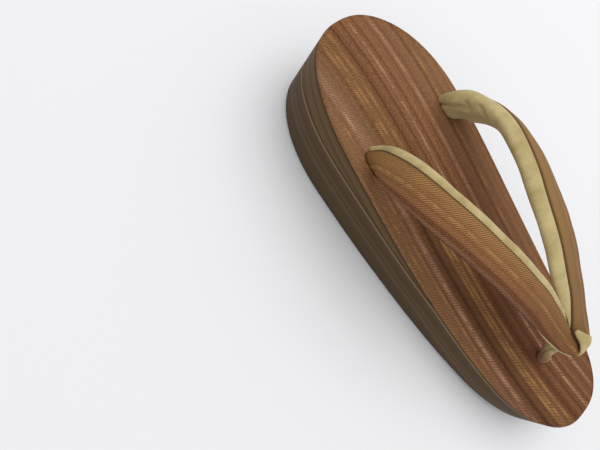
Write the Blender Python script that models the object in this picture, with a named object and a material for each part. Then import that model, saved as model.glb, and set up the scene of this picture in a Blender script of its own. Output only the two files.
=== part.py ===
"""A zori sandal: a fabric-covered wedge sole, a padded V strap and a front thong.

+Y points to the toe, +X to the wearer's right and +Z up. The origin is on the floor, under
the middle of the sole. All lengths are in metres. Each layer of the sole is a stack of rings
round one outline, and the strap and the thong are rings swept along a route.
"""
import math

import bmesh
import bpy
from mathutils import Matrix, Vector

# Outline of the sole, seen from above
LENGTH = 0.240
HEEL_WIDTH = 0.0736
WAIST_WIDTH = 0.0776
FOREFOOT_WIDTH = 0.0694
HEEL_ROUND = 0.0617
TOE_ROUND = 0.0518
HEEL_POWER = 2.39
TOE_POWER = 2.61

# Heights of the sole's profile
HEEL_HEIGHT = 0.0494
TREAD_HEIGHT = 0.0280
TOE_SPRING = 0.0087
FLAT_TREAD = 0.144

# Layers of the sole
OUTSOLE_THICKNESS = 0.0018
OUTSOLE_INSET = 0.0008
BOARD_THICKNESS = 0.0024
BOARD_ROUND = 0.0014
WEDGE_THICKNESS = 0.0187
WEDGE_LENGTH = 0.1340
WEDGE_TIP = 0.0008
FOLD_ROUND = 0.0009
GAP = 0.0003

# Strap: where it leaves the sole, how far it reaches and how thick it is
STRAP_HOLE_X = 0.0274
STRAP_HOLE_FROM_HEEL = 0.0640
STRAP_SOCKET_DEPTH = 0.0075
STRAP_TIP_FROM_HEEL = 0.1918
STRAP_LIFT = 0.0344
STRAP_HALF_WIDTH = 0.0107
STRAP_OUTER = 0.0045
STRAP_INNER = 0.0046
STRAP_WALL = 0.0013
NOSE_LENGTH = 0.0022

# Thong: the post in its hole and the band over the tips of the strap
THONG_HOLE_FROM_HEEL = 0.2030
THONG_SOCKET_DEPTH = 0.0110
THONG_RADIUS = 0.0035
BAND_HALF_WIDTH = 0.0045
BAND_HALF_THICKNESS = 0.0012
BAND_REACH = 0.0064

# Finish of each piece: colour (linear red, green, blue) and roughness
FINISHES = {
    "outsole": ((0.10, 0.08, 0.06), 0.80),
    "sole_core": ((0.13, 0.09, 0.05), 0.85),
    "heel_wedge": ((0.16, 0.11, 0.06), 0.85),
    "top_board": ((0.21, 0.09, 0.05), 0.75),
    "strap_cover": ((0.22, 0.10, 0.05), 0.80),
    "strap_lining": ((0.60, 0.50, 0.31), 0.90),
    "front_thong": ((0.55, 0.46, 0.30), 0.90),
    "strap_hole_cutter": ((0.50, 0.50, 0.50), 0.50),
    "thong_hole_cutter": ((0.50, 0.50, 0.50), 0.50),
}

# How finely the forms are divided
OUTLINE_ROWS = 34
SECTIONS_PER_ROW = 2
COVER_STEPS = 7
LINING_STEPS = 11
THONG_SIDES = 14
THONG_STEPS_PER_ROW = 3
OVAL_SIDES = 24
NOSE_STEPS = 3
ROUND_STEPS = 3
THONG_CUTTER_PLACES = (0.0, 0.5, 1.0, 1.25, 1.5)
STRAP_CUTTER_ROWS = 2
CREASE_DEGREES = 40
# Steps over which slopes and directions are measured: a share of the length, rows and radians
SLOPE_SHARE = 0.001
ROW_STEP = 0.05
ANGLE_STEP = 0.01
# Most of a layer's thickness that a rounded edge takes, and least of a section left inside a wall
ROUND_LIMIT = 0.42
LEAST_SHARE = 0.3

# Shares of the length where the three widths above are measured
WIDTH_PLACES = (0.15, 0.50, 0.80)

# Upper surface: share of the length, share of the fall from the heel seat to the tread
TOP_FALL = (
    (0.0, 0.00),
    (0.1, -0.04),
    (0.2, 0.03),
    (0.3, 0.19),
    (0.4, 0.39),
    (0.5, 0.60),
    (0.6, 0.78),
    (0.7, 0.92),
    (0.8, 1.00),
    (0.9, 0.99),
    (1.0, 0.89),
)

# Strap sections from the hole to the tip. reach: share of the way forward; side: share of the
# hole's distance from the middle; lift: share of STRAP_LIFT above the sole; roll: 0 stands
# upright, 90 lies flat, in degrees; width, outer, inner: shares of the half width and of the
# two half thicknesses; seam: angle of the cover's inner edge, in degrees.
STRAP_ROWS = (
    # reach, side, lift, roll, width, outer, inner, seam
    (0.003, 1.00, 0.00, 2, 0.72, 0.82, 0.80, 47),
    (0.044, 1.10, 0.31, 23, 0.90, 0.95, 1.00, 51),
    (0.106, 1.14, 0.56, 45, 0.93, 1.00, 1.00, 55),
    (0.177, 1.12, 0.72, 60, 0.91, 1.00, 1.00, 58),
    (0.260, 1.06, 0.82, 71, 0.95, 0.99, 1.00, 60),
    (0.353, 0.95, 0.91, 77, 0.98, 0.97, 1.00, 62),
    (0.451, 0.82, 0.96, 81, 1.00, 0.94, 1.00, 64),
    (0.550, 0.69, 1.00, 83, 1.00, 0.90, 0.98, 64),
    (0.646, 0.56, 1.00, 84, 0.99, 0.86, 0.95, 64),
    (0.734, 0.43, 0.97, 85, 0.96, 0.82, 0.92, 63),
    (0.813, 0.34, 0.92, 87, 0.90, 0.78, 0.87, 62),
    (0.881, 0.26, 0.86, 91, 0.82, 0.75, 0.80, 56),
    (0.941, 0.20, 0.81, 97, 0.69, 0.72, 0.72, 40),
    (1.000, 0.12, 0.79, 104, 0.48, 0.70, 0.64, 20),
)
# The strap at the bottom of its socket: reach, side and width, as in the table above
SOCKET_SHARES = (-0.016, 0.97, 0.66)
# Angle of the cover's outer edge, in degrees
COVER_OUTER_EDGE = 190

# Post of the thong above the sole. forward: share of the way from the hole to the strap's nose;
# rise: share of the way up to the strap's underside; wide, thick: shares of the post's radius.
POST_ROWS = (
    # forward, rise, wide, thick
    (0.60, 0.30, 1.00, 0.95),
    (0.95, 0.60, 1.00, 0.84),
)
# Band round the strap's nose. past: how far in front of the nose, in gaps and in half
# thicknesses; climb: share of the way from the strap's underside to its crest; over: height above
# that, in gaps and in half thicknesses; widen: share of the way from the post's radius to the
# band's half width; thick: in half thicknesses.
BAND_ROWS = (
    # past gaps, past, climb, over gaps, over, widen, thick
    (0, 0.4, 0.0, -1, -1.6, 0.35, 1.45),
    (1, 1.3, 0.5, 0, 0.0, 0.72, 1.15),
    (0, 0.0, 1.0, 1, 0.6, 0.92, 1.05),
)
# Shares that taper the ends: the post in its socket, and the band's width and thickness
POST_TAPER = 0.92
BAND_END_WIDE = 0.94
BAND_END_THICK = 0.85
BAND_RISE_AT_TIP = 0.8


def mix(low, high, share):
    """Return the value a share of the way from low to high."""
    return low + (high - low) * share


def smooth_at(values, place):
    """Read a smooth curve through evenly placed values; place counts in steps."""
    last = len(values) - 1
    place = min(max(place, 0.0), float(last))
    index = min(int(place), last - 1)
    share = place - index
    here, ahead = values[index], values[index + 1]
    before = values[index - 1] if index > 0 else 2 * here - ahead
    beyond = values[index + 2] if index + 2 <= last else 2 * ahead - here
    slope_in = (ahead - before) / 2
    slope_out = (beyond - here) / 2
    square = share * share
    cube = square * share
    return (
        here * (2 * cube - 3 * square + 1)
        + slope_in * (cube - 2 * square + share)
        + ahead * (3 * square - 2 * cube)
        + slope_out * (cube - square)
    )


def width_at(share):
    """Width of the sole without its round ends: a parabola through three named widths."""
    first, middle, last = WIDTH_PLACES
    heel = (share - middle) * (share - last) / ((first - middle) * (first - last))
    waist = (share - first) * (share - last) / ((middle - first) * (middle - last))
    front = (share - first) * (share - middle) / ((last - first) * (last - middle))
    return HEEL_WIDTH * heel + WAIST_WIDTH * waist + FOREFOOT_WIDTH * front


def end_factor(distance, length, power):
    """Share of the full width near a round end, from the distance to that end."""
    inside = max(1.0 - distance / length, 0.0)
    return max(1.0 - inside**power, 0.0) ** (1.0 / power)


def half_width(from_heel):
    """Half the width of the outline at a distance from the heel end."""
    share = from_heel / LENGTH
    heel = end_factor(from_heel, HEEL_ROUND, HEEL_POWER)
    toe = end_factor(LENGTH - from_heel, TOE_ROUND, TOE_POWER)
    return width_at(share) / 2 * heel * toe


def ground(from_heel):
    """Height of the outsole's tread: flat, then sprung up towards the toe."""
    past_flat = max(from_heel - FLAT_TREAD, 0.0) / (LENGTH - FLAT_TREAD)
    return TOE_SPRING * past_flat**2


def top(from_heel):
    """Height of the surface that the foot stands on."""
    place = from_heel / LENGTH * (len(TOP_FALL) - 1)
    fall = smooth_at([row[1] for row in TOP_FALL], place)
    return mix(HEEL_HEIGHT, TREAD_HEIGHT, fall)


def board_under(from_heel):
    """Height of the underside of the top board."""
    return top(from_heel) - BOARD_THICKNESS


def wedge_depth(from_heel):
    """Thickness of the heel wedge, which thins evenly towards the waist."""
    return mix(WEDGE_THICKNESS, WEDGE_TIP, from_heel / WEDGE_LENGTH)


def wedge_top(from_heel):
    """Height of the top of the heel wedge."""
    return board_under(from_heel) - GAP


def wedge_under(from_heel):
    """Height of the underside of the heel wedge."""
    return wedge_top(from_heel) - wedge_depth(from_heel)


def core_top(from_heel):
    """Height of the core's top: under the wedge, then under the board."""
    if from_heel < WEDGE_LENGTH + GAP:
        return wedge_under(from_heel) - GAP
    return board_under(from_heel) - GAP


def outsole_top(from_heel):
    """Height of the outsole's upper face."""
    return ground(from_heel) + OUTSOLE_THICKNESS


def core_under(from_heel):
    """Height of the underside of the core."""
    return outsole_top(from_heel) + GAP


def outline_stations(end=None, extra=()):
    """Distances from the heel, closer together at the round ends."""
    last = OUTLINE_ROWS - 1
    places = [LENGTH * (0.5 - 0.5 * math.cos(math.pi * step / last)) for step in range(OUTLINE_ROWS)]
    if end is not None:
        places = [place for place in places if place < end - GAP] + [end]
    return sorted(places + list(extra))


def inset_rows(stations, insets):
    """Move the outline inwards; give (distance from the heel, half width) for each station."""
    rows = []
    for index, place in enumerate(stations):
        half = half_width(place)
        inset = insets[index]
        if index == 0:
            rows.append((place + inset, 0.0))
            continue
        if half <= 0.0:
            rows.append((place - inset, 0.0))
            continue
        step = LENGTH * SLOPE_SHARE
        slope = (half_width(min(place + step, LENGTH)) - half_width(max(place - step, 0.0))) / (2 * step)
        length = math.hypot(1.0, slope)
        rows.append((place + inset * slope / length, half - inset / length))
    return rows


def ring_points(rows, height):
    """Points round one level: up the right side, then back down the left side."""
    right = [Vector((half, place - LENGTH / 2, height(place))) for place, half in rows]
    left = [Vector((-point.x, point.y, point.z)) for point in reversed(right) if point.x > 0.0]
    return right + left


def add_strip_cap(bm, ring, count):
    """Close a level with strips across the sole, so that it keeps the profile's curve."""
    total = len(ring)
    right = list(range(count))
    left = [(total - index) % total if ring[index].co.x > 0.0 else index for index in right]
    for index in range(count - 1):
        corners = [ring[right[index]], ring[right[index + 1]], ring[left[index + 1]], ring[left[index]]]
        unique = list(dict.fromkeys(corners))
        bm.faces.new(unique)


def finish_mesh(bm, name):
    """Turn faces outwards, make the object and give it its own material."""
    bmesh.ops.recalc_face_normals(bm, faces=bm.faces[:])
    mesh = bpy.data.meshes.new(name)
    bm.to_mesh(mesh)
    bm.free()
    mesh.shade_smooth()
    mesh.set_sharp_from_angle(angle=math.radians(CREASE_DEGREES))
    color, roughness = FINISHES[name]
    material = bpy.data.materials.new(name)
    material.use_nodes = True
    shader = material.node_tree.nodes["Principled BSDF"]
    shader.inputs["Base Color"].default_value = (*color, 1.0)
    shader.inputs["Roughness"].default_value = roughness
    shader.inputs["Metallic"].default_value = 0.0
    mesh.materials.append(material)
    solid = bpy.data.objects.new(name, mesh)
    bpy.context.scene.collection.objects.link(solid)
    return solid


def round_levels(under, over, radius_under, radius_over, inset=0.0):
    """Levels of a layer with rounded edges, each as (inset function, height function)."""

    def limited(radius, place):
        return min(radius, ROUND_LIMIT * (over(place) - under(place)))

    levels = []
    for step in range(ROUND_STEPS + 1):
        angle = math.pi / 2 * (1 - step / ROUND_STEPS)
        levels.append((
            lambda place, a=angle: inset + limited(radius_under, place) * (1 - math.cos(a)),
            lambda place, a=angle: under(place) + limited(radius_under, place) * (1 - math.sin(a)),
        ))
    for step in range(ROUND_STEPS + 1):
        angle = math.pi / 2 * step / ROUND_STEPS
        levels.append((
            lambda place, a=angle: inset + limited(radius_over, place) * (1 - math.cos(a)),
            lambda place, a=angle: over(place) - limited(radius_over, place) * (1 - math.sin(a)),
        ))
    return levels


def plain_levels(under, over, inset):
    """Two levels with sharp edges."""
    return [(lambda place: inset, under), (lambda place: inset, over)]


def make_layer(name, stations, levels):
    """Build one layer of the sole from its levels, the lowest first."""
    bm = bmesh.new()
    rings = []
    for inset, height in levels:
        rows = inset_rows(stations, [inset(place) for place in stations])
        rings.append([bm.verts.new(point) for point in ring_points(rows, height)])
    for lower, upper in zip(rings, rings[1:]):
        for index in range(len(lower)):
            after = (index + 1) % len(lower)
            bm.faces.new([lower[index], lower[after], upper[after], upper[index]])
    add_strip_cap(bm, rings[0], len(stations))
    add_strip_cap(bm, rings[-1], len(stations))
    return finish_mesh(bm, name)


def strap_rows():
    """All strap sections, with the one at the bottom of the socket first."""
    roll, _, outer, inner, seam = STRAP_ROWS[0][3:]
    reach, side, width = SOCKET_SHARES
    depth = -STRAP_SOCKET_DEPTH / STRAP_LIFT
    socket = (reach, side, depth, roll, width, outer, inner, seam)
    return (socket, *STRAP_ROWS)


def strap_centre(place):
    """Centre of the right-hand strap; place counts in table rows from the socket."""
    rows = strap_rows()
    reach, side, lift = (smooth_at([row[column] for row in rows], place) for column in range(3))
    from_heel = mix(STRAP_HOLE_FROM_HEEL, STRAP_TIP_FROM_HEEL, reach)
    beyond = place - (len(rows) - 1)
    height = top(from_heel) + lift * STRAP_LIFT
    centre = Vector((side * STRAP_HOLE_X, from_heel - LENGTH / 2, height))
    if beyond > 0.0:
        centre += beyond * NOSE_LENGTH * strap_direction(len(rows) - 1)
    return centre


def strap_direction(place):
    """Unit direction of the strap's route, from the hole to the tip."""
    last = float(len(STRAP_ROWS))
    low = max(place - ROW_STEP, 0.0)
    high = min(place + ROW_STEP, last)
    return (strap_centre(high) - strap_centre(low)).normalized()


def strap_frame(place):
    """Centre, inward direction, outward direction, half sizes and seam angle of a section."""
    rows = strap_rows()
    last = float(len(rows) - 1)
    roll, width, outer, inner, seam = (
        smooth_at([row[column] for row in rows], place) for column in range(3, 8)
    )
    beyond = max(place - last, 0.0)
    nose = math.sqrt(max(1.0 - beyond**2, 0.0))
    along = strap_direction(min(place, last))
    upright = (Vector((0, 0, 1)) - along * along.z).normalized()
    outward = along.cross(upright)
    turn = math.radians(roll)
    across = upright * math.cos(turn) - outward * math.sin(turn)
    facing = outward * math.cos(turn) + upright * math.sin(turn)
    sizes = (STRAP_HALF_WIDTH * width * nose, STRAP_OUTER * outer * nose, STRAP_INNER * inner * nose)
    return strap_centre(place), across, facing, sizes, math.radians(seam)


def section_point(frame, angle, grow=0.0):
    """Point on the strap's oval section, moved outwards by grow."""
    centre, across, facing, sizes, _ = frame
    width, outer, inner = sizes
    thickness = outer if math.sin(angle) > 0.0 else inner
    wide = max(width + grow, LEAST_SHARE * width)
    thick = max(thickness + grow, LEAST_SHARE * thickness)
    return centre + across * (wide * math.cos(angle)) + facing * (thick * math.sin(angle))


def gap_angle(frame, angle):
    """Angle that gives half a gap along the inner side of the wall at this place."""
    before = section_point(frame, angle - ANGLE_STEP, -STRAP_WALL)
    after = section_point(frame, angle + ANGLE_STEP, -STRAP_WALL)
    return GAP / 2 / ((after - before).length / (2 * ANGLE_STEP))


def strap_places():
    """Places of the strap's sections, with a round nose past the last row."""
    last = len(STRAP_ROWS)
    places = [index / SECTIONS_PER_ROW for index in range(last * SECTIONS_PER_ROW + 1)]
    nose = [last + math.sin(math.pi / 2 * step / (NOSE_STEPS + 0.5)) for step in range(1, NOSE_STEPS + 1)]
    return places + nose


def shell_ring(frame, start, end, steps):
    """Outline of a wall's section: out along its outer side and back along its inner side."""
    angles = [mix(start, end, step / steps) for step in range(steps + 1)]
    outside = [section_point(frame, angle) for angle in angles]
    inside = [section_point(frame, angle, -STRAP_WALL) for angle in reversed(angles)]
    return outside + inside


def join_rings(bm, rings):
    """Add faces between neighbouring rings of vertices."""
    for ring, following in zip(rings, rings[1:]):
        for index in range(len(ring)):
            after = (index + 1) % len(ring)
            bm.faces.new([ring[index], ring[after], following[after], following[index]])


def cap_wall_ring(bm, ring):
    """Close the end of a wall with a strip between its outer and inner sides."""
    total = len(ring)
    for index in range(total // 2 - 1):
        bm.faces.new([ring[index], ring[index + 1], ring[total - 2 - index], ring[total - 1 - index]])


def join_in_the_middle(bm):
    """Keep the right half, cut at the middle plane, and weld its mirror image to it."""
    weld = GAP / 1000
    everything = bm.verts[:] + bm.edges[:] + bm.faces[:]
    middle = bmesh.ops.bisect_plane(
        bm, geom=everything, dist=weld, plane_co=(0, 0, 0), plane_no=(1, 0, 0), clear_inner=True
    )
    for element in middle["geom_cut"]:
        if isinstance(element, bmesh.types.BMVert):
            element.co.x = 0.0
    half = bm.verts[:] + bm.edges[:] + bm.faces[:]
    bmesh.ops.mirror(bm, geom=half, matrix=Matrix.Identity(4), merge_dist=weld, axis="X")


def make_strap_shell(name, edges, steps):
    """Sweep one wall of the padded strap, from one hole over the tip to the other hole."""
    bm = bmesh.new()
    rings = []
    for place in strap_places():
        frame = strap_frame(place)
        start, end = edges(frame)
        start += gap_angle(frame, start)
        end -= gap_angle(frame, end)
        rings.append([bm.verts.new(point) for point in shell_ring(frame, start, end, steps)])
    join_rings(bm, rings)
    cap_wall_ring(bm, rings[0])
    cap_wall_ring(bm, rings[-1])
    join_in_the_middle(bm)
    return finish_mesh(bm, name)


def cover_edges(frame):
    """Angles between which the cover spans the outer face of the strap."""
    return frame[4], math.radians(COVER_OUTER_EDGE)


def lining_edges(frame):
    """Angles between which the lining spans the inner face of the strap."""
    return math.radians(COVER_OUTER_EDGE), frame[4] + 2 * math.pi


def make_strap_cutter():
    """Make the two tubes that cut the strap's holes and sockets, a gap wider than the strap."""
    bm = bmesh.new()
    count = STRAP_CUTTER_ROWS * SECTIONS_PER_ROW + 2
    places = [index / SECTIONS_PER_ROW for index in range(count)]
    for side in (1.0, -1.0):
        rings = []
        for number, place in enumerate(places):
            frame = strap_frame(place)
            shift = strap_direction(0.0) * -GAP if number == 0 else Vector()
            ring = []
            for step in range(OVAL_SIDES):
                point = section_point(frame, 2 * math.pi * step / OVAL_SIDES, GAP) + shift
                ring.append(bm.verts.new((point.x * side, point.y, point.z)))
            rings.append(ring)
        join_rings(bm, rings)
        bm.faces.new(rings[0])
        bm.faces.new(rings[-1])
    return finish_cutter(bm, "strap_hole_cutter")


def finish_cutter(bm, name):
    """Make a cutter that is neither rendered nor built."""
    cutter = finish_mesh(bm, name)
    cutter.hide_render = True
    cutter.display_type = "WIRE"
    return cutter


def section_heights(place):
    """Heights of the points round a section of the strap."""
    frame = strap_frame(place)
    return [section_point(frame, 2 * math.pi * step / OVAL_SIDES).z for step in range(OVAL_SIDES)]


def crest_under_band():
    """Height of the strap's highest point under the thong's band."""
    last = float(len(STRAP_ROWS))
    band_end = strap_centre(last).y - BAND_REACH - BAND_HALF_WIDTH
    crest = max(section_heights(last))
    place = last - 1 / SECTIONS_PER_ROW
    while place > 0.0 and strap_centre(place).y > band_end:
        crest = max(crest, *section_heights(place))
        place -= 1 / SECTIONS_PER_ROW
    return crest


def thong_rows():
    """Sections of the thong: (distance from the heel, height, half width, half thickness)."""
    last = float(len(STRAP_ROWS))
    heights = section_heights(last)
    crest, under = max(heights), min(heights)
    tip = strap_centre(last).y + LENGTH / 2
    nose = tip + NOSE_LENGTH
    hole = THONG_HOLE_FROM_HEEL
    surface = top(hole)
    post = THONG_RADIUS
    thin = BAND_HALF_THICKNESS
    highest = crest_under_band() + GAP + thin
    rows = [
        (hole, surface - THONG_SOCKET_DEPTH, POST_TAPER * post, POST_TAPER * post),
        (hole, surface, post, post),
    ]
    for forward, rise, wide, thick in POST_ROWS:
        rows.append((mix(hole, nose, forward), mix(surface, under, rise), wide * post, thick * post))
    for past_gaps, past, climb, over_gaps, over, widen, thick in BAND_ROWS:
        place = nose + past_gaps * GAP + past * thin
        height = mix(under, crest, climb) + over_gaps * GAP + over * thin
        rows.append((place, height, mix(post, BAND_HALF_WIDTH, widen), thick * thin))
    rows.append((tip, mix(crest, highest, BAND_RISE_AT_TIP) + thin, BAND_HALF_WIDTH, thin))
    rows.append((tip - BAND_REACH, highest, BAND_END_WIDE * BAND_HALF_WIDTH, BAND_END_THICK * thin))
    return rows


def thong_ring(place, grow=0.0):
    """Points round the thong's section; place counts in rows from the socket."""
    rows = thong_rows()
    last = float(len(rows) - 1)
    columns = list(zip(*rows))
    from_heel, height, wide, thick = (smooth_at(column, place) for column in columns)
    ahead = [smooth_at(column, min(place + ROW_STEP, last)) for column in columns[:2]]
    back = [smooth_at(column, max(place - ROW_STEP, 0.0)) for column in columns[:2]]
    along = Vector((0.0, ahead[0] - back[0], ahead[1] - back[1])).normalized()
    outward = Vector((1, 0, 0)).cross(along)
    centre = Vector((0.0, from_heel - LENGTH / 2, height))
    points = []
    for index in range(THONG_SIDES):
        angle = 2 * math.pi * index / THONG_SIDES
        across = Vector((1, 0, 0)) * ((wide + grow) * math.cos(angle))
        points.append(centre + across + outward * ((thick + grow) * math.sin(angle)))
    return points


def make_thong():
    """Make the post and its band as one sweep with closed ends."""
    bm = bmesh.new()
    steps = (len(thong_rows()) - 1) * THONG_STEPS_PER_ROW
    rings = []
    for step in range(steps + 1):
        rings.append([bm.verts.new(point) for point in thong_ring(step / THONG_STEPS_PER_ROW)])
    join_rings(bm, rings)
    bm.faces.new(rings[0])
    bm.faces.new(rings[-1])
    return finish_mesh(bm, "front_thong")


def make_thong_cutter():
    """Make the tube that cuts the thong's hole and socket."""
    bm = bmesh.new()
    rings = []
    for place in THONG_CUTTER_PLACES:
        points = thong_ring(place, GAP)
        if place == 0.0:
            points = [point - Vector((0, 0, GAP)) for point in points]
        rings.append([bm.verts.new(point) for point in points])
    join_rings(bm, rings)
    bm.faces.new(rings[0])
    bm.faces.new(rings[-1])
    return finish_cutter(bm, "thong_hole_cutter")


def cut(solid, cutter):
    """Cut one solid with another."""
    modifier = solid.modifiers.new(cutter.name, "BOOLEAN")
    modifier.operation = "DIFFERENCE"
    modifier.object = cutter
    modifier.solver = "EXACT"


def make_outsole():
    """Make the thin rubber sheet that meets the floor."""
    levels = plain_levels(ground, outsole_top, OUTSOLE_INSET)
    return make_layer("outsole", outline_stations(), levels)


def make_core():
    """Make the full-length core, with a step where the wedge ends."""
    end = WEDGE_LENGTH + GAP
    stations = outline_stations(extra=(end - GAP / 4, end + GAP / 4))
    levels = round_levels(core_under, core_top, FOLD_ROUND, FOLD_ROUND)
    return make_layer("sole_core", stations, levels)


def make_wedge():
    """Make the upper tier, thick at the heel and blunt where it runs out."""
    levels = round_levels(wedge_under, wedge_top, FOLD_ROUND, FOLD_ROUND)
    stations = outline_stations(end=WEDGE_LENGTH)
    return make_layer("heel_wedge", stations, levels)


def make_board():
    """Make the thin board under the foot, with a rounded upper edge."""
    levels = round_levels(board_under, top, FOLD_ROUND, BOARD_ROUND)
    return make_layer("top_board", outline_stations(), levels)


def main():
    """Clear the scene, then build the sole, the strap and the thong."""
    for old in list(bpy.data.objects):
        bpy.data.objects.remove(old, do_unlink=True)
    make_outsole()
    core = make_core()
    wedge = make_wedge()
    board = make_board()
    make_strap_shell("strap_cover", cover_edges, COVER_STEPS)
    make_strap_shell("strap_lining", lining_edges, LINING_STEPS)
    make_thong()
    strap_cutter = make_strap_cutter()
    thong_cutter = make_thong_cutter()
    cut(board, strap_cutter)
    cut(wedge, strap_cutter)
    cut(board, thong_cutter)
    cut(core, thong_cutter)


main()
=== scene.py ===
"""The looks of a zori sandal: brocade over a wedge sole, a padded strap lined with crepe, a thong.

+Y points to the toe, +X to the wearer's right and +Z up; the origin is on the floor under the middle
of the sole. Lengths are in metres, and patterns are worked out in millimetres.
"""
import logging
import math
from collections.abc import Callable, Sequence
from dataclasses import dataclass, replace
from enum import Enum
from typing import NamedTuple

import bmesh
import bpy
from mathutils import Matrix, Vector, noise


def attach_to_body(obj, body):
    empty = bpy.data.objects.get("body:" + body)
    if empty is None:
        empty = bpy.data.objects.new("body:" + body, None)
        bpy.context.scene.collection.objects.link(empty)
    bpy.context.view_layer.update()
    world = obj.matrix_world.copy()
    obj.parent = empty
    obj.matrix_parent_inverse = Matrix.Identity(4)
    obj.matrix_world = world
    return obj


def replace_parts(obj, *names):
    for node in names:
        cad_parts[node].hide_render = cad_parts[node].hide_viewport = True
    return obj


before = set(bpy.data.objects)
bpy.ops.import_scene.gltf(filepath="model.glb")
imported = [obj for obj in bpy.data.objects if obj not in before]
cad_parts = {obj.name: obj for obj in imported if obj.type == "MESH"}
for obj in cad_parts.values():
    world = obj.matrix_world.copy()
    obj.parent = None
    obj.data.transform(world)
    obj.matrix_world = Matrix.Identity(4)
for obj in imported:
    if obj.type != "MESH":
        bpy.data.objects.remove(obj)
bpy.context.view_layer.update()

LOG = logging.getLogger("zori")
BODY = "root"
PER_METRE = 1000.0
GAP = 0.0003
CLOTH_UV = "cloth"
OUTWARD = "outward"
WELD = 1e-6
ON_PLANE = 1e-7


class Slot(Enum):
    """The record's material slots."""

    OUTSOLE = "outsole_rubber"
    SIDE = "side_fabric"
    TOP = "top_fabric"
    STRAP = "strap_fabric"
    LINING = "lining_fabric"


class Side(Enum):
    """The two halves of the strap, by the sign of X."""

    RIGHT = 1.0
    LEFT = -1.0


# Sums and curves


def mix(low: float, high: float, share: float) -> float:
    """Return the value a share of the way from low to high."""
    return low + (high - low) * share


def ease(low: float, high: float, value: float) -> float:
    """Return 0 below low, 1 above high and a soft S between them."""
    share = min(max((value - low) / (high - low), 0.0), 1.0)
    return share * share * (3.0 - 2.0 * share)


def smooth_at(values: Sequence[float], place: float) -> float:
    """Read a smooth curve through evenly placed values.

    Args:
        values: the heights of the curve.
        place: where to read it, counted in steps from the first value.

    Returns:
        The curve's height there.
    """
    last = len(values) - 1
    place = min(max(place, 0.0), float(last))
    index = min(int(place), last - 1)
    share = place - index
    here, ahead = values[index], values[index + 1]
    before = values[index - 1] if index > 0 else 2 * here - ahead
    beyond = values[index + 2] if index + 2 <= last else 2 * ahead - here
    square, cube = share**2, share**3
    return (
        here * (2 * cube - 3 * square + 1)
        + (ahead - before) / 2 * (cube - 2 * square + share)
        + ahead * (3 * square - 2 * cube)
        + (beyond - here) / 2 * (cube - square)
    )


def soft_hump(distance: float, reach: float) -> float:
    """Return 1 at no distance, falling softly to almost nothing past the reach."""
    return math.exp(-((distance / reach) ** 2))


def ripple(point: Vector, scale: float, seed: float) -> float:
    """Return smooth noise from -1 to 1 at a point, with waves about as long as the scale."""
    return noise.noise(point / scale + Vector((seed, seed, seed)))


def signed_angle(degrees: float) -> float:
    """Return an angle as a value from -180 to 180 degrees."""
    return (degrees + 180.0) % 360.0 - 180.0


def mirror(side: float) -> Vector:
    """Return what a right-hand point is multiplied by to lie on the half of the given side."""
    return Vector((side, 1.0, 1.0))


# Meshes and nodes


@dataclass
class MeshParts:
    """Points, faces and cloth coordinates of a mesh while it is made."""

    points: list[Vector]
    faces: list[tuple[int, ...]]
    cloth: list[tuple[float, float]]

    @classmethod
    def empty(cls) -> "MeshParts":
        """Start a mesh with nothing in it."""
        return cls([], [], [])

    def add(self, point: Vector, cloth: tuple[float, float] = (0.0, 0.0)) -> int:
        """Add a point with its cloth coordinates and return its number."""
        self.points.append(point)
        self.cloth.append(cloth)
        return len(self.points) - 1

    def join_rings(self, rings: Sequence[Sequence[int]], closed: bool = True) -> None:
        """Add faces between neighbouring rings of point numbers.

        Args:
            rings: rings with the same number of points each.
            closed: whether each ring's last point joins its first.
        """
        for ring, following in zip(rings, rings[1:]):
            count = len(ring) if closed else len(ring) - 1
            for index in range(count):
                after = (index + 1) % len(ring)
                self.faces.append((ring[index], ring[after], following[after], following[index]))

    def close(self, rings: Sequence[Sequence[int]]) -> None:
        """Add a face over the first and the last of a sweep's rings."""
        self.faces.append(tuple(rings[0]))
        self.faces.append(tuple(rings[-1]))

    def make(self, name: str, material: bpy.types.Material) -> bpy.types.Object:
        """Make the object, with outward faces and smooth shading.

        Args:
            name: the piece's name.
            material: its finish.

        Returns:
            The new object, at the origin.
        """
        mesh = bpy.data.meshes.new(name)
        mesh.from_pydata([tuple(point) for point in self.points], [], self.faces)
        layer = mesh.uv_layers.new(name=CLOTH_UV)
        for loop in mesh.loops:
            layer.data[loop.index].uv = self.cloth[loop.vertex_index]
        turn_outwards(mesh)
        mesh.shade_smooth()
        mesh.materials.append(material)
        piece = bpy.data.objects.new(name, mesh)
        bpy.context.scene.collection.objects.link(piece)
        return piece


def turn_outwards(
    mesh: bpy.types.Mesh, weld: float = WELD, trim: Callable[[bmesh.types.BMesh], None] | None = None
) -> None:
    """Weld a closed mesh's doubles and turn all its faces outwards.

    Args:
        mesh: the mesh to change.
        weld: how close two points are to become one.
        trim: what cuts the shape first, where something does.
    """
    shape = bmesh.new()
    shape.from_mesh(mesh)
    if trim is not None:
        trim(shape)
    bmesh.ops.remove_doubles(shape, verts=shape.verts, dist=weld)
    bmesh.ops.recalc_face_normals(shape, faces=shape.faces[:])
    shape.to_mesh(mesh)
    shape.free()


def attach(piece: bpy.types.Object, slot: Slot) -> bpy.types.Object:
    """Tie a piece to the body."""
    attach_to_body(piece, BODY)
    return piece


def dress(piece: bpy.types.Object, node: str, slot: Slot) -> bpy.types.Object:
    """Tie a piece to the body and to the CAD node that it replaces."""
    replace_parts(attach(piece, slot), node)
    return piece


def linear(colour: str) -> tuple[float, float, float, float]:
    """Turn a hex colour such as #8a6a40 into linear red, green, blue and alpha, by the sRGB curve."""
    parts = [int(colour[start : start + 2], 16) / 255 for start in (1, 3, 5)]
    red, green, blue = (p / 12.92 if p <= 0.04045 else ((p + 0.055) / 1.055) ** 2.4 for p in parts)
    return red, green, blue, 1.0


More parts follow.
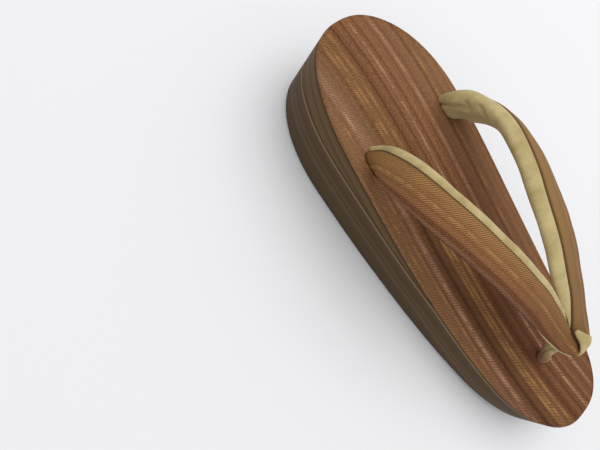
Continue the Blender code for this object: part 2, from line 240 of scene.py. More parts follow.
def add_node(
    tree: bpy.types.NodeTree,
    kind: str,
    settings: dict[str, object] | None = None,
    inputs: dict[str | int, object] | None = None,
) -> bpy.types.Node:
    """Add a node, set its properties and fill or link its inputs.

    Args:
        tree: the tree that gets the node.
        kind: the node's type name.
        settings: property names and values.
        inputs: socket names or numbers, with a value or the output socket that feeds each.

    Returns:
        The new node.
    """
    node = tree.nodes.new(kind)
    for name, value in (settings or {}).items():
        setattr(node, name, value)
    for key, value in (inputs or {}).items():
        if isinstance(value, Term):
            value = value.socket
        if isinstance(value, bpy.types.NodeSocket):
            tree.links.new(value, node.inputs[key])
        else:
            node.inputs[key].default_value = value
    return node


@dataclass(frozen=True)
class Term:
    """A number in a node tree, which sums are written with."""

    tree: bpy.types.NodeTree
    socket: bpy.types.NodeSocket

    def apply(self, operation: str, *others: "Term | float") -> "Term":
        """Feed this number and any others to a math node and return its result."""
        inputs = dict(enumerate((self, *others)))
        node = add_node(self.tree, "ShaderNodeMath", {"operation": operation}, inputs)
        return Term(self.tree, node.outputs[0])

    def __add__(self, other: "Term | float") -> "Term":
        """Add a number."""
        return self.apply("ADD", other)

    def __sub__(self, other: "Term | float") -> "Term":
        """Take a number away."""
        return self.apply("SUBTRACT", other)

    def __rsub__(self, other: float) -> "Term":
        """Take this number away from another."""
        return (self * -1.0).apply("ADD", other)

    def __mul__(self, other: "Term | float") -> "Term":
        """Multiply by a number."""
        return self.apply("MULTIPLY", other)

    def __truediv__(self, other: "Term | float") -> "Term":
        """Divide by a number."""
        return self.apply("DIVIDE", other)

    def wave(self, length: float) -> "Term":
        """Return a wave from 0 to 1 that repeats after the given length."""
        return (self * (2 * math.pi / length)).apply("SINE") * 0.5 + 0.5

    def between(self, low: float, high: float) -> "Term":
        """Return 0 below low, 1 above high and a soft S between them."""
        settings = {"interpolation_type": "SMOOTHSTEP"}
        inputs = {"Value": self, "From Min": low, "From Max": high}
        node = add_node(self.tree, "ShaderNodeMapRange", settings, inputs)
        return Term(self.tree, node.outputs["Result"])

    def ramp(self, stops: Sequence[tuple[float, str | float]]) -> bpy.types.NodeSocket:
        """Read a ramp of greys or colours at this number.

        Args:
            stops: places from 0 to 1 with a grey from 0 to 1 or a hex colour each.

        Returns:
            The ramp's colour socket.
        """
        node = add_node(self.tree, "ShaderNodeValToRGB", None, {"Fac": self})
        elements = node.color_ramp.elements
        while len(elements) < len(stops):
            elements.new(0.5)
        for element, (place, shade) in zip(elements, sorted(stops)):
            element.position = place
            element.color = linear(shade) if isinstance(shade, str) else (shade, shade, shade, 1.0)
        return node.outputs["Color"]


class Grain(NamedTuple):
    """Noise in a surface: its patches' width and length in millimetres, its seed and finer layers."""

    width: float
    length: float
    seed: float
    detail: float

    def on(self, across: Term, along: Term) -> Term:
        """Return the noise, from 0 to 1.

        Args:
            across: millimetres across the patches.
            along: millimetres along them.

        Returns:
            The noise at each point.
        """
        tree = across.tree
        inputs = {"X": across / self.width, "Y": along / self.length, "Z": self.seed}
        vector = add_node(tree, "ShaderNodeCombineXYZ", None, inputs)
        inputs = {"Vector": vector.outputs[0], "Scale": 1.0, "Detail": self.detail, "Roughness": 0.55}
        node = add_node(tree, "ShaderNodeTexNoise", {"noise_dimensions": "3D"}, inputs)
        return Term(tree, node.outputs["Fac"])


def tint(below: str | bpy.types.NodeSocket, above: str, share: Term) -> bpy.types.NodeSocket:
    """Lay one colour over another.

    Args:
        below: the colour below, a hex colour or a colour socket.
        above: the hex colour above.
        share: how much of the colour above shows.

    Returns:
        The mixed colour's socket.
    """
    under = linear(below) if isinstance(below, str) else below
    settings = {"data_type": "RGBA", "blend_type": "MIX"}
    node = add_node(share.tree, "ShaderNodeMix", settings, {0: share, 6: under, 7: linear(above)})
    return node.outputs[2]


@dataclass(frozen=True)
class Touch:
    """How a surface takes the light, the same all over it.

    relief is the strength of its bumps from 0 to 1 and depth their real height in metres. rough and
    gloss are the shader's roughness and specular level.
    """

    rough: float
    gloss: float = 0.5
    relief: float = 0.0
    depth: float = 0.0

    def give(
        self, shader: bpy.types.Node, colour: bpy.types.NodeSocket, height: Term | None = None
    ) -> None:
        """Feed a shader its colour and bumps, and set its roughness and specular level.

        Args:
            shader: the material's shader.
            colour: the socket of its colour.
            height: the height of the bumps, where it has some.
        """
        tree = shader.id_data
        tree.links.new(colour, shader.inputs["Base Color"])
        if height is not None:
            inputs = {"Strength": self.relief, "Distance": self.depth, "Height": height}
            bump = add_node(tree, "ShaderNodeBump", None, inputs)
            tree.links.new(bump.outputs[0], shader.inputs["Normal"])
        shader.inputs["Roughness"].default_value = self.rough
        shader.inputs["Specular IOR Level"].default_value = self.gloss


def start_material(name: str) -> tuple[bpy.types.Material, bpy.types.NodeTree, bpy.types.Node]:
    """Make a material and return it with its tree and its shader."""
    material = bpy.data.materials.new(name)
    material.use_nodes = True
    tree = material.node_tree
    return material, tree, tree.nodes["Principled BSDF"]


def object_millimetres(tree: bpy.types.NodeTree) -> tuple[Term, Term, Term]:
    """Return the X, Y and Z of a point of the piece in millimetres."""
    place = add_node(tree, "ShaderNodeTexCoord")
    parts = add_node(tree, "ShaderNodeSeparateXYZ", None, {0: place.outputs["Object"]})
    x, y, z = (Term(tree, output) * PER_METRE for output in parts.outputs)
    return x, y, z


def cloth_millimetres(tree: bpy.types.NodeTree) -> tuple[Term, Term]:
    """Return the cloth coordinates of a point in millimetres: along, then across."""
    place = add_node(tree, "ShaderNodeUVMap", {"uv_map": CLOTH_UV})
    parts = add_node(tree, "ShaderNodeSeparateXYZ", None, {0: place.outputs["UV"]})
    return Term(tree, parts.outputs["X"]) * PER_METRE, Term(tree, parts.outputs["Y"]) * PER_METRE


# Finishes


class Band(NamedTuple):
    """A lengthwise band of the cloth, in millimetres across it, with its strength from 0 to 1."""

    centre: float
    half_width: float
    strength: float


@dataclass(frozen=True)
class BandChart:
    """Where a cloth's bands lie across it."""

    low: float
    high: float
    gold: tuple[Band, ...]
    rose: tuple[Band, ...]
    dark: tuple[Band, ...]
    ground: tuple[tuple[float, str], ...]

    def share(self, place: "float | Term") -> "float | Term":
        """Return a place across the cloth as a share of the chart's width."""
        return (place - self.low) / (self.high - self.low)

    def stops(self, bands: Sequence[Band]) -> list[tuple[float, float]]:
        """Return a ramp's stops for a few bands that don't overlap."""
        profile = ((-1.0, 0.0), (-0.5, 1.0), (0.5, 1.0), (1.0, 0.0))
        found = [(0.0, 0.0)]
        for band in bands:
            for reach, strength in profile:
                found.append((self.share(band.centre + reach * band.half_width), strength * band.strength))
        return found


# Bands of the sole's cloth, counted from its middle line, positive towards +X
TOP_CHART = BandChart(
    low=-42.0,
    high=42.0,
    gold=(
        Band(-33.2, 1.6, 0.35),
        Band(-26.3, 1.5, 0.60),
        Band(10.1, 1.7, 0.75),
        Band(15.0, 2.9, 0.90),
        Band(19.4, 1.3, 0.20),
        Band(31.6, 1.4, 0.55),
        Band(36.2, 2.2, 0.80),
    ),
    rose=(
        Band(-21.6, 0.9, 0.25),
        Band(-14.8, 1.3, 0.55),
        Band(-9.2, 0.8, 0.20),
        Band(-3.6, 1.4, 0.75),
        Band(2.7, 0.9, 0.25),
        Band(27.7, 2.1, 1.00),
    ),
    dark=(
        Band(-24.2, 0.6, 0.60),
        Band(-17.4, 0.7, 0.50),
        Band(-12.0, 0.6, 0.45),
        Band(-6.6, 0.7, 0.55),
        Band(0.3, 0.7, 0.60),
        Band(6.2, 1.0, 0.70),
        # Partly the cloth's own dark stripe, partly painted shadow of the near strap
        Band(22.0, 1.3, 0.90),
    ),
    ground=(
        (-40.0, "#8a6142"),
        (-29.0, "#8a6142"),
        (-24.0, "#7c5236"),
        (-18.0, "#875b3d"),
        (-10.0, "#7e4f32"),
        (-2.0, "#784a2a"),
        (6.0, "#6b3f21"),
        # From 12 to 23 mm the ground is darker, partly as painted shadow of the near strap
        (12.0, "#6b4424"),
        (18.0, "#5d381b"),
        (23.0, "#4c2d18"),
        (27.0, "#70492f"),
        (32.5, "#7c5540"),
        (40.0, "#7f5a40"),
    ),
)

# Bands of the strap's cloth, counted from the seam with the lining
STRAP_CHART = BandChart(
    low=0.0,
    high=20.0,
    gold=(
        Band(4.0, 3.2, 0.85),
        Band(8.9, 1.6, 0.85),
        Band(12.3, 1.7, 0.45),
    ),
    rose=(
        Band(17.0, 1.2, 0.45),
    ),
    dark=(
        Band(0.4, 0.8, 0.60),
        Band(6.9, 0.4, 0.12),
        Band(10.1, 0.4, 0.14),
        Band(14.3, 0.7, 0.30),
        Band(18.6, 0.6, 0.50),
    ),
    ground=(
        (0.0, "#6a5128"),
        (2.0, "#8f6a3a"),
        (6.0, "#8c6437"),
        (10.0, "#835931"),
        # From 13 mm the ground darkens to the lower edge: partly the cloth's own reddish brown, partly
        # painted shade where the cover turns under
        (13.0, "#764a2b"),
        (16.0, "#653b22"),
        (20.0, "#51301b"),
    ),
)


@dataclass(frozen=True)
class Brocade:
    """Woven brocade of silky rayon, ribbed on a slant, with streaks of lighter and darker warp.

    The sole's cloth is lighter at the heel, with painted shadow of the near strap over its front and along a
    stripe right of the middle. The strap's darkens towards its tip with painted shade and has a greener
    painted sheen on the half at -X. The eye gets a matt surface with fine slanted ribs, which catch a
    little light; their hollows get painted shade. Ribs, hairs and specks are drawn coarser than the real
    yarn, which is too fine to show.
    """

    name: str
    chart: BandChart
    follows_cloth: bool
    rib_pitch: float
    unevenness: float
    wander: float
    rib_contrast: float
    touch: Touch
    rib_slant: float = 42.0
    gold_thread: str = "#ab7e4b"
    rose_thread: str = "#b88c6b"
    pale_warp: str = "#a6764a"
    brown_warp_and_shade: str = "#58331c"
    dark_thread: str = "#432410"
    rib_shade: str = "#4b2c17"
    painted_edge_highlight: str = "#a88a68"
    far_half_painted_sheen: str = "#8a7f55"
    lighter_at_heel: str = "#a8835f"
    drift: Grain = Grain(6.0, 55.0, 3.1, 1.0)
    streaks: Grain = Grain(1.3, 600.0, 7.7, 3.0)
    hairs: Grain = Grain(0.42, 70.0, 1.3, 2.0)
    wear: Grain = Grain(3.0, 13.0, 5.5, 2.0)
    specks: Grain = Grain(0.55, 0.75, 4.9, 1.0)
    flecks: Grain = Grain(0.45, 0.85, 6.3, 1.0)
    rib_drift: Grain = Grain(2.2, 2.2, 9.1, 1.0)

    def make(self) -> bpy.types.Material:
        """Make the material."""
        material, tree, shader = start_material(self.name)
        around, depth = cloth_millimetres(tree)
        if self.follows_cloth:
            along, across = around, depth
            place = across.apply("ABSOLUTE")
        else:
            across, along, _ = object_millimetres(tree)
            place = across
        place = place + (self.drift.on(place, along) * 2.0 - 1.0) * self.wander
        share = self.chart.share(place)
        streak, hair = self.streaks.on(place, along), self.hairs.on(place, along)
        wear, speck = self.wear.on(place, along), self.specks.on(place, along)
        rib = self.rib_wave(across, along)
        lit = rib.between(0.20, 0.75)
        gold = Term(tree, share.ramp(self.chart.stops(self.chart.gold))) * wear.between(0.22, 0.50)
        rose = Term(tree, share.ramp(self.chart.stops(self.chart.rose))) * wear.between(0.25, 0.55)
        dark = Term(tree, share.ramp(self.chart.stops(self.chart.dark)))
        colour = share.ramp([(self.chart.share(spot), shade) for spot, shade in self.chart.ground])
        if not self.follows_cloth:
            # The dark stripe 18 to 31 mm to the right is partly painted shadow of the near strap, so it is
            # lightened towards the heel, where that shadow does not fall; all of the sole is a little
            # lighter towards the heel
            outer = across.between(18.0, 22.0) * across.between(31.0, 27.0) * along.between(-20.0, -60.0)
            colour = tint(colour, self.lighter_at_heel, along.between(10.0, -70.0) * 0.08 + outer * 0.40)
            # Painted shadow of the near strap over the middle and front of the sole
            colour = tint(colour, self.brown_warp_and_shade, along.between(-10.0, 50.0) * 0.16)
            dark = dark * (1.0 - outer * 0.8)
        colour = self.mottle(colour, streak, hair, speck)
        if not self.follows_cloth:
            fleck = self.flecks.on(place, along).between(0.52, 0.66) * along.between(40.0, -40.0)
            colour = tint(colour, self.gold_thread, fleck * 0.42)
        # Threads show fully on the raised side of each rib; the hollows get the darker ground between floats
        # and painted shade
        raised = lit * 0.80 + 0.10
        colour = tint(colour, self.gold_thread, gold * raised)
        colour = tint(colour, self.rose_thread, rose * raised)
        sunk = (1.0 - lit) * ((gold + rose) * 0.60 + 0.20)
        colour = tint(colour, self.rib_shade, sunk * self.rib_contrast)
        colour = tint(colour, self.dark_thread, dark * streak.between(0.15, 0.55) * 0.85)
        if self.follows_cloth:
            # Painted shade, darker towards the strap's tip
            colour = tint(colour, self.brown_warp_and_shade, along.between(70.0, 145.0) * 0.35)
            # Painted sheen, greener, on the strap's half at -X
            colour = tint(colour, self.far_half_painted_sheen, across.between(-0.5, -2.0) * 0.20)
        else:
            # Painted highlight: a lighter band along the bottom of the board's wall
            colour = tint(colour, self.painted_edge_highlight, depth.between(-1.55, -1.95) * 0.7)
        height = rib * ((gold + rose) * 0.65 + 0.35) + hair * 0.5 + streak * 0.5 + speck * 0.3
        self.touch.give(shader, colour, height)
        return material

    def mottle(
        self, colour: bpy.types.NodeSocket, streak: Term, hair: Term, speck: Term
    ) -> bpy.types.NodeSocket:
        """Lay the lighter and darker warp, hairs and specks over a colour.

        Args:
            colour: the cloth's own colour.
            streak: the noise of the long streaks.
            hair: the noise of single yarns.
            speck: the noise of the fine specks.

        Returns:
            The mottled colour.
        """
        for thread, share in (
            (self.brown_warp_and_shade, (1.0 - streak).between(0.42, 0.72) * 0.38),
            (self.pale_warp, streak.between(0.50, 0.74) * 0.34),
            (self.dark_thread, hair.between(0.50, 0.75) * 0.38),
            (self.dark_thread, speck.between(0.50, 0.70) * 0.42),
            (self.pale_warp, (1.0 - speck).between(0.53, 0.73) * 0.45),
        ):
            colour = tint(colour, thread, share)
        return colour

    def rib_wave(self, across: Term, along: Term) -> Term:
        """Return the slanted ribs as a wave from 0 to 1, slightly uneven as woven cloth is."""
        slant = math.radians(self.rib_slant)
        drift = self.rib_drift.on(across, along) * self.unevenness
        return (across * math.sin(slant) + along * math.cos(slant) + drift).wave(self.rib_pitch)


class Streak(NamedTuple):
    """A lighter level line of the side cloth, used for the cloth's streaks and for a painted highlight:
    millimetres below the tier's top, half width and strength.
    """

    below: float
    half_width: float
    strength: float


@dataclass(frozen=True)
class SideCloth:
    """Olive-brown satin weave drawn round the sole's side, streaked lengthwise.

    The eye gets a dull band with fine level lines, a little shinier than the brocade. The finest
    threads are drawn 0.22 mm wide, coarser than real yarn, so that they show.
    """

    name: str
    dark: str
    middle: str
    light: str
    streaks: tuple[Streak, ...]
    # Colour of the level lines: the cloth's streaks and a painted highlight
    edge: str = "#92795a"
    gap: str = "#241808"
    broad: Grain = Grain(2.6, 900.0, 2.2, 2.0)
    fine: Grain = Grain(0.55, 320.0, 8.4, 2.0)
    thread: Grain = Grain(0.22, 12.0, 4.6, 1.0)
    touch: Touch = Touch(rough=0.7, gloss=0.2, relief=0.6, depth=0.00012)

    def make(self) -> bpy.types.Material:
        """Make the material."""
        material, tree, shader = start_material(self.name)
        along, level = cloth_millimetres(tree)
        below = level * -1.0
        broad, fine, thread = (grain.on(below, along) for grain in (self.broad, self.fine, self.thread))
        colour = broad.ramp([(0.24, self.dark), (0.50, self.middle), (0.76, self.light)])
        colour = tint(colour, self.dark, fine.between(0.52, 0.72) * 0.40)
        colour = tint(colour, self.light, (1.0 - fine).between(0.56, 0.76) * 0.45)
        colour = tint(colour, self.gap, thread.between(0.55, 0.8) * 0.25)
        # Lighter level lines; on the lower tier the first is a painted highlight along its top edge
        for streak in self.streaks:
            rise = below.between(streak.below - streak.half_width, streak.below)
            fall = below.between(streak.below + streak.half_width, streak.below)
            colour = tint(colour, self.edge, rise * fall * streak.strength)
        self.touch.give(shader, colour, fine * 0.8 + thread * 0.6 + broad * 0.4)
        return material


@dataclass(frozen=True)
class Crepe:
    """Cream crepe with a fine pebbled grain.

    The eye gets a soft, matt, slightly uneven cream with shallow cross wrinkles. Low down it can get
    painted shade and painted brown light thrown up from the sole, as on the post. The grain is drawn at
    0.5 mm, coarser than the real one, so that it shows.
    """

    name: str
    light: str = "#bfae7b"
    shade: str = "#a99765"
    pit: str = "#938050"
    low_painted_shade: str = "#8a6444"
    low_shade_share: float = 0.0
    shade_starts_at: float = 43.0
    shade_full_at: float = 32.0
    pebbles: Grain = Grain(0.5, 0.5, 6.1, 2.0)
    clouds: Grain = Grain(9.0, 9.0, 1.9, 2.0)
    wrinkles: Grain = Grain(3.6, 0.9, 4.4, 2.0)
    nap: float = 0.12
    nap_rough: float = 0.5
    touch: Touch = Touch(rough=0.9, gloss=0.2, relief=0.6, depth=0.00018)

    def make(self) -> bpy.types.Material:
        """Make the material."""
        material, tree, shader = start_material(self.name)
        x, y, z = object_millimetres(tree)
        grains = (self.pebbles, self.clouds, self.wrinkles)
        pebble, cloud, wrinkle = (grain.on(x + z, y) for grain in grains)
        colour = cloud.ramp([(0.35, self.shade), (0.62, self.light)])
        colour = tint(colour, self.pit, pebble.between(0.46, 0.72) * 0.40)
        # Painted shade and painted brown light from the sole, darker towards the bottom
        colour = tint(colour, self.low_painted_shade, z.between(self.shade_starts_at, self.shade_full_at) * self.low_shade_share)
        self.touch.give(shader, colour, pebble * 0.8 + wrinkle * 0.8)
        shader.inputs["Sheen Weight"].default_value = self.nap
        shader.inputs["Sheen Roughness"].default_value = self.nap_rough
        return material


@dataclass(frozen=True)
class SoleRubber:
    """Pressed sheet of dark rubber with a fine grit, dull all over, which the eye sees as matt brown."""

    name: str
    colour: str = "#2c241c"
    scuffed: str = "#4a4036"
    grit: Grain = Grain(0.5, 0.5, 3.3, 3.0)
    scuffs: Grain = Grain(14.0, 22.0, 8.8, 3.0)
    touch: Touch = Touch(rough=0.85, relief=0.5, depth=0.00015)

    def make(self) -> bpy.types.Material:
        """Make the material."""
        material, tree, shader = start_material(self.name)
        x, y, _ = object_millimetres(tree)
        colour = tint(self.colour, self.scuffed, self.scuffs.on(x, y).between(0.5, 0.75) * 0.6)
        self.touch.give(shader, colour, self.grit.on(x, y))
        return material


@dataclass(frozen=True)
class Thread:
    """Twisted rayon or polyester thread, with a slight shine and darker flecks along it."""

    name: str
    colour: str
    fleck: str
    flecks: Grain = Grain(1.1, 1.1, 2.7, 2.0)
    touch: Touch = Touch(rough=0.65, gloss=0.3)

    def make(self) -> bpy.types.Material:
        """Make the material."""
        material, tree, shader = start_material(self.name)
        x, y, z = object_millimetres(tree)
        colour = tint(self.colour, self.fleck, self.flecks.on(x + z, y).between(0.42, 0.66) * 0.6)
        self.touch.give(shader, colour)
        return material


# Node recipes


class Recipe:
    """A geometry node tree with named sizes, run once to leave a plain mesh."""

    def __init__(self, name: str) -> None:
        """Start a tree that passes its geometry on."""
        self.tree = bpy.data.node_groups.new(name, "GeometryNodeTree")
        interface = self.tree.interface
        interface.new_socket("Geometry", in_out="INPUT", socket_type="NodeSocketGeometry")
        interface.new_socket("Geometry", in_out="OUTPUT", socket_type="NodeSocketGeometry")
        self.entry = self.tree.nodes.new("NodeGroupInput")
        self.values: dict[str, float] = {}

    def size(self, name: str, value: float) -> Term:
        """Add a named number to the tree's inputs and return it."""
        socket = self.tree.interface.new_socket(name, in_out="INPUT", socket_type="NodeSocketFloat")
        self.values[socket.identifier] = value
        return Term(self.tree, self.entry.outputs[name])

    def add(
        self,
        kind: str,
        settings: dict[str, object] | None = None,
        inputs: dict[str | int, object] | None = None,
        output: str | int = 0,
    ) -> bpy.types.NodeSocket:
        """Add a node and return one of its outputs."""
        return add_node(self.tree, kind, settings, inputs).outputs[output]

    def run(
        self, name: str, source: bpy.types.Mesh, geometry: bpy.types.NodeSocket, material: bpy.types.Material
    ) -> bpy.types.Object:
        """Finish the tree, run it on a mesh and keep the result as plain faces.

        Args:
            name: the new piece's name.
            source: the mesh that the tree starts from.
            geometry: the tree's last geometry socket.
            material: the piece's finish.

        Returns:
            The new object, without its modifier.
        """
        real = self.add("GeometryNodeRealizeInstances", None, {"Geometry": geometry})
        dressed = self.add("GeometryNodeSetMaterial", None, {"Geometry": real, "Material": material})
        add_node(self.tree, "NodeGroupOutput", None, {"Geometry": dressed})
        piece = bpy.data.objects.new(name, source)
        bpy.context.scene.collection.objects.link(piece)
        modifier = piece.modifiers.new("recipe", "NODES")
        modifier.node_group = self.tree
        for identifier, value in self.values.items():
            modifier[identifier] = value
        evaluated = piece.evaluated_get(bpy.context.evaluated_depsgraph_get())
        plain = bpy.data.meshes.new_from_object(evaluated)
        piece.modifiers.remove(modifier)
        piece.data = plain
        plain.shade_smooth()
        return piece


class ThreadPath(NamedTuple):
    """A line over the cloth that threads are laid along, with the way out of the cloth at each point."""

    points: list[Vector]
    outward: list[Vector]


@dataclass(frozen=True)
class ThreadRow:
    """Short raised threads laid one after another along paths, as stitches or as floats of the weave."""

    name: str
    pitch: float
    length: float
    width: float
    height: float
    turn: float
    worn: float
    seed: int
    sides: int = 6
    rings: int = 4
    wear_scale: float = 140.0
    least_length: float = 0.8

    def path_mesh(self, paths: Sequence[ThreadPath]) -> bpy.types.Mesh:
        """Turn the paths into a mesh of edges that carries the outward directions."""
        points, edges, outward = [], [], []
        for path in paths:
            first = len(points)
            points.extend(tuple(point) for point in path.points)
            outward.extend(path.outward)
            edges.extend((first + step, first + step + 1) for step in range(len(path.points) - 1))
        mesh = bpy.data.meshes.new(self.name)
        mesh.from_pydata(points, edges, [])
        layer = mesh.attributes.new(OUTWARD, "FLOAT_VECTOR", "POINT")
        for item, direction in zip(layer.data, outward):
            item.vector = direction
        return mesh

    def make(self, paths: Sequence[ThreadPath], material: bpy.types.Material) -> bpy.types.Object:
        """Lay the threads along the paths.

        Args:
            paths: the lines over the cloth.
            material: the thread's finish.

        Returns:
            The new object.
        """
        recipe = Recipe(self.name)
        pitch = recipe.size("Pitch", self.pitch)
        length = recipe.size("Length", self.length)
        width = recipe.size("Width", self.width)
        height = recipe.size("Height", self.height)
        turn = recipe.size("Turn", math.radians(self.turn))
        worn = recipe.size("Worn", self.worn)
        curve = recipe.add("GeometryNodeMeshToCurve", None, {"Mesh": recipe.entry.outputs["Geometry"]})
        line = recipe.add("GeometryNodeResampleCurve", {"mode": "LENGTH"}, {"Curve": curve, "Length": pitch})
        ball = recipe.add(
            "GeometryNodeMeshUVSphere", None, {"Segments": self.sides, "Rings": self.rings, "Radius": 0.5}
        )
        size = recipe.add("ShaderNodeCombineXYZ", None, {"X": length, "Y": width, "Z": height})
        thread = recipe.add("GeometryNodeTransform", None, {"Geometry": ball, "Scale": size})
        tangent = recipe.add("GeometryNodeInputTangent")
        outward = recipe.add(
            "GeometryNodeInputNamedAttribute", {"data_type": "FLOAT_VECTOR"}, {"Name": OUTWARD}
        )
        aligned = recipe.add(
            "FunctionNodeAlignRotationToVector", {"axis": "X", "pivot_axis": "AUTO"}, {"Vector": tangent}
        )
        upright = recipe.add(
            "FunctionNodeAlignRotationToVector",
            {"axis": "Z", "pivot_axis": "X"},
            {"Rotation": aligned, "Vector": outward},
        )
        angles = recipe.add("ShaderNodeCombineXYZ", None, {"Z": turn})
        slant = recipe.add("FunctionNodeEulerToRotation", None, {0: angles})
        slanted = recipe.add(
            "FunctionNodeRotateRotation",
            {"rotation_space": "LOCAL"},
            {"Rotation": upright, "Rotate By": slant},
        )
        varied = recipe.add(
            "FunctionNodeRandomValue",
            {"data_type": "FLOAT"},
            {2: self.least_length, 3: 1.0, "Seed": self.seed},
            output=1,
        )
        scale = recipe.add("ShaderNodeCombineXYZ", None, {"X": varied, "Y": 1.0, "Z": 1.0})
        position = recipe.add("GeometryNodeInputPosition")
        cloud = recipe.add("ShaderNodeTexNoise", None, {"Vector": position, "Scale": self.wear_scale})
        kept = Term(recipe.tree, cloud).apply("GREATER_THAN", worn)
        placed = recipe.add(
            "GeometryNodeInstanceOnPoints",
            None,
            {"Points": line, "Selection": kept, "Instance": thread, "Rotation": slanted, "Scale": scale},
        )
        return recipe.run(self.name, self.path_mesh(paths), placed, material)


# The sole


@dataclass(frozen=True)
class Last:
    """Outline and profile of the sole, measured from the heel end."""

    length: float = 0.240
    heel_width: float = 0.0736
    waist_width: float = 0.0776
    forefoot_width: float = 0.0694
    width_places: tuple[float, float, float] = (0.15, 0.50, 0.80)
    heel_round: float = 0.0617
    toe_round: float = 0.0518
    heel_power: float = 2.39
    toe_power: float = 2.61
    heel_height: float = 0.0494
    tread_height: float = 0.0280
    toe_spring: float = 0.0087
    flat_tread: float = 0.144
    top_fall: tuple[float, ...] = (0.0, -0.04, 0.03, 0.19, 0.39, 0.60, 0.78, 0.92, 1.0, 0.99, 0.89)

    def half_width(self, from_heel: float) -> float:
        """Return half the width of the outline at a distance from the heel end."""
        share = from_heel / self.length
        first, middle, last = self.width_places
        heel = (share - middle) * (share - last) / ((first - middle) * (first - last))
        waist = (share - first) * (share - last) / ((middle - first) * (middle - last))
        front = (share - first) * (share - middle) / ((last - first) * (last - middle))
        width = self.heel_width * heel + self.waist_width * waist + self.forefoot_width * front
        heel_end = self.round_end(from_heel, self.heel_round, self.heel_power)
        toe_end = self.round_end(self.length - from_heel, self.toe_round, self.toe_power)
        return width / 2 * heel_end * toe_end

    @staticmethod
    def round_end(distance: float, length: float, power: float) -> float:
        """Return the share of the full width at a distance from a round end."""
        inside = max(1.0 - distance / length, 0.0)
        return max(1.0 - inside**power, 0.0) ** (1.0 / power)

    def ground(self, from_heel: float) -> float:
        """Return the height of the tread: flat, then sprung up towards the toe."""
        past_flat = max(from_heel - self.flat_tread, 0.0) / (self.length - self.flat_tread)
        return self.toe_spring * past_flat**2

    def top(self, from_heel: float) -> float:
        """Return the height of the surface that the foot stands on."""
        fall = smooth_at(self.top_fall, from_heel / self.length * (len(self.top_fall) - 1))
        return mix(self.heel_height, self.tread_height, fall)

    def stations(self, count: int, end: float | None = None, extra: Sequence[float] = ()) -> list[float]:
        """Return distances from the heel, closer together at the round ends.

        Args:
            count: how many are spread over the whole length.
            end: where to stop, if the layer is shorter than the sole.
            extra: more distances to put in.

        Returns:
            The distances in order.
        """
        turn = math.pi / (count - 1)
        places = [self.length * (0.5 - 0.5 * math.cos(turn * step)) for step in range(count)]
        if end is not None:
            places = [place for place in places if place < end - GAP] + [end]
        return sorted(places + list(extra))

    def inset_row(self, place: float, inset: float, is_heel: bool) -> tuple[float, float]:
        """Move a point of the outline inwards and return its distance from the heel and half width."""
        half = self.half_width(place)
        if half <= 0.0:
            return (place + inset, 0.0) if is_heel else (place - inset, 0.0)
        step = GAP
        ahead = self.half_width(min(place + step, self.length))
        back = self.half_width(max(place - step, 0.0))
        slope = (ahead - back) / (2 * step)
        length = math.hypot(1.0, slope)
        return place + inset * slope / length, half - inset / length


Height = Callable[[float], float]
Relief = Callable[[float, float], float]


@dataclass(frozen=True)
class Level:
    """One ring of a layer: how far in from the outline, and how high, by distance from the heel."""

    inset: Height
    height: Height


@dataclass
class SoleLayer:
    """One layer of the sole, a stack of rings with strips across its faces.

    Its cloth coordinates run round the wall from the heel, the same way on both sides, and down from
    the layer's top edge.
    """

    last: Last
    stations: list[float]
    over: Height
    across: int = 8
    relief: Relief | None = None

    def make(self, name: str, levels: Sequence[Level], material: bpy.types.Material) -> bpy.types.Object:
        """Build the layer.

        Args:
            name: the piece's name.
            levels: its rings, the lowest first.
            material: its finish.

        Returns:
            The new object.
        """
        parts = MeshParts.empty()
        rings = [self.add_ring(parts, level) for level in levels]
        parts.join_rings([ring + ring[:1] for ring in rings], closed=False)
        self.add_cap(parts, rings[0], None)
        self.add_cap(parts, rings[-1], self.relief)
        return parts.make(name, material)

    def add_ring(self, parts: MeshParts, level: Level) -> list[int]:
        """Add one ring of points, up the right side and back down the left.

        Args:
            parts: the mesh being made.
            level: how far in and how high the ring lies.

        Returns:
            The numbers of its points.
        """
        right = []
        for index, place in enumerate(self.stations):
            row_place, half = self.last.inset_row(place, level.inset(place), index == 0)
            depth = level.height(place) - self.over(place)
            right.append((Vector((half, row_place - self.last.length / 2, level.height(place))), depth))
        right[0][0].x = 0.0
        runs = [0.0]
        for (before, _), (after, _) in zip(right, right[1:]):
            runs.append(runs[-1] + (after.xy - before.xy).length)
        numbers = [parts.add(point, (run, depth)) for (point, depth), run in zip(right, runs)]
        mirrored = list(zip(right, runs))[1:]
        if right[-1][0].x <= 0.0:
            mirrored.pop()
        for (point, depth), run in reversed(mirrored):
            numbers.append(parts.add(Vector((-point.x, point.y, point.z)), (run, depth)))
        return numbers

    def add_cap(self, parts: MeshParts, ring: list[int], relief: Relief | None) -> None:
        """Close a level with a fine grid across the sole.

        Args:
            parts: the mesh being made.
            ring: the level's points.
            relief: extra height by X and distance from the heel, where there is one.
        """
        rows = []
        for index in range(len(self.stations)):
            right = ring[index]
            left = ring[(len(ring) - index) % len(ring)]
            if index == 0 or parts.points[right].x == 0.0:
                rows.append([right] * (self.across + 1))
                continue
            row = [right]
            start, end = parts.points[right], parts.points[left]
            for step in range(1, self.across):
                point = start.lerp(end, step / self.across)
                if relief is not None:
                    point.z += relief(point.x, point.y + self.last.length / 2)
                row.append(parts.add(point))
            rows.append([*row, left])
        for row, following in zip(rows, rows[1:]):
            for step in range(self.across):
                corners = (row[step], row[step + 1], following[step + 1], following[step])
                unique = tuple(dict.fromkeys(corners))
                if len(unique) > 2:
                    parts.faces.append(unique)


@dataclass(frozen=True)
class Hole:
    """Where the strap or the thong goes into the sole, as an oval seen from above."""

    x: float
    from_heel: float
    half_x: float
    half_y: float

    def nearness(self, x: float, from_heel: float) -> float:
        """Return how far out a point lies, where 1 is the oval's edge."""
        return math.hypot((x - self.x) / self.half_x, (from_heel - self.from_heel) / self.half_y)


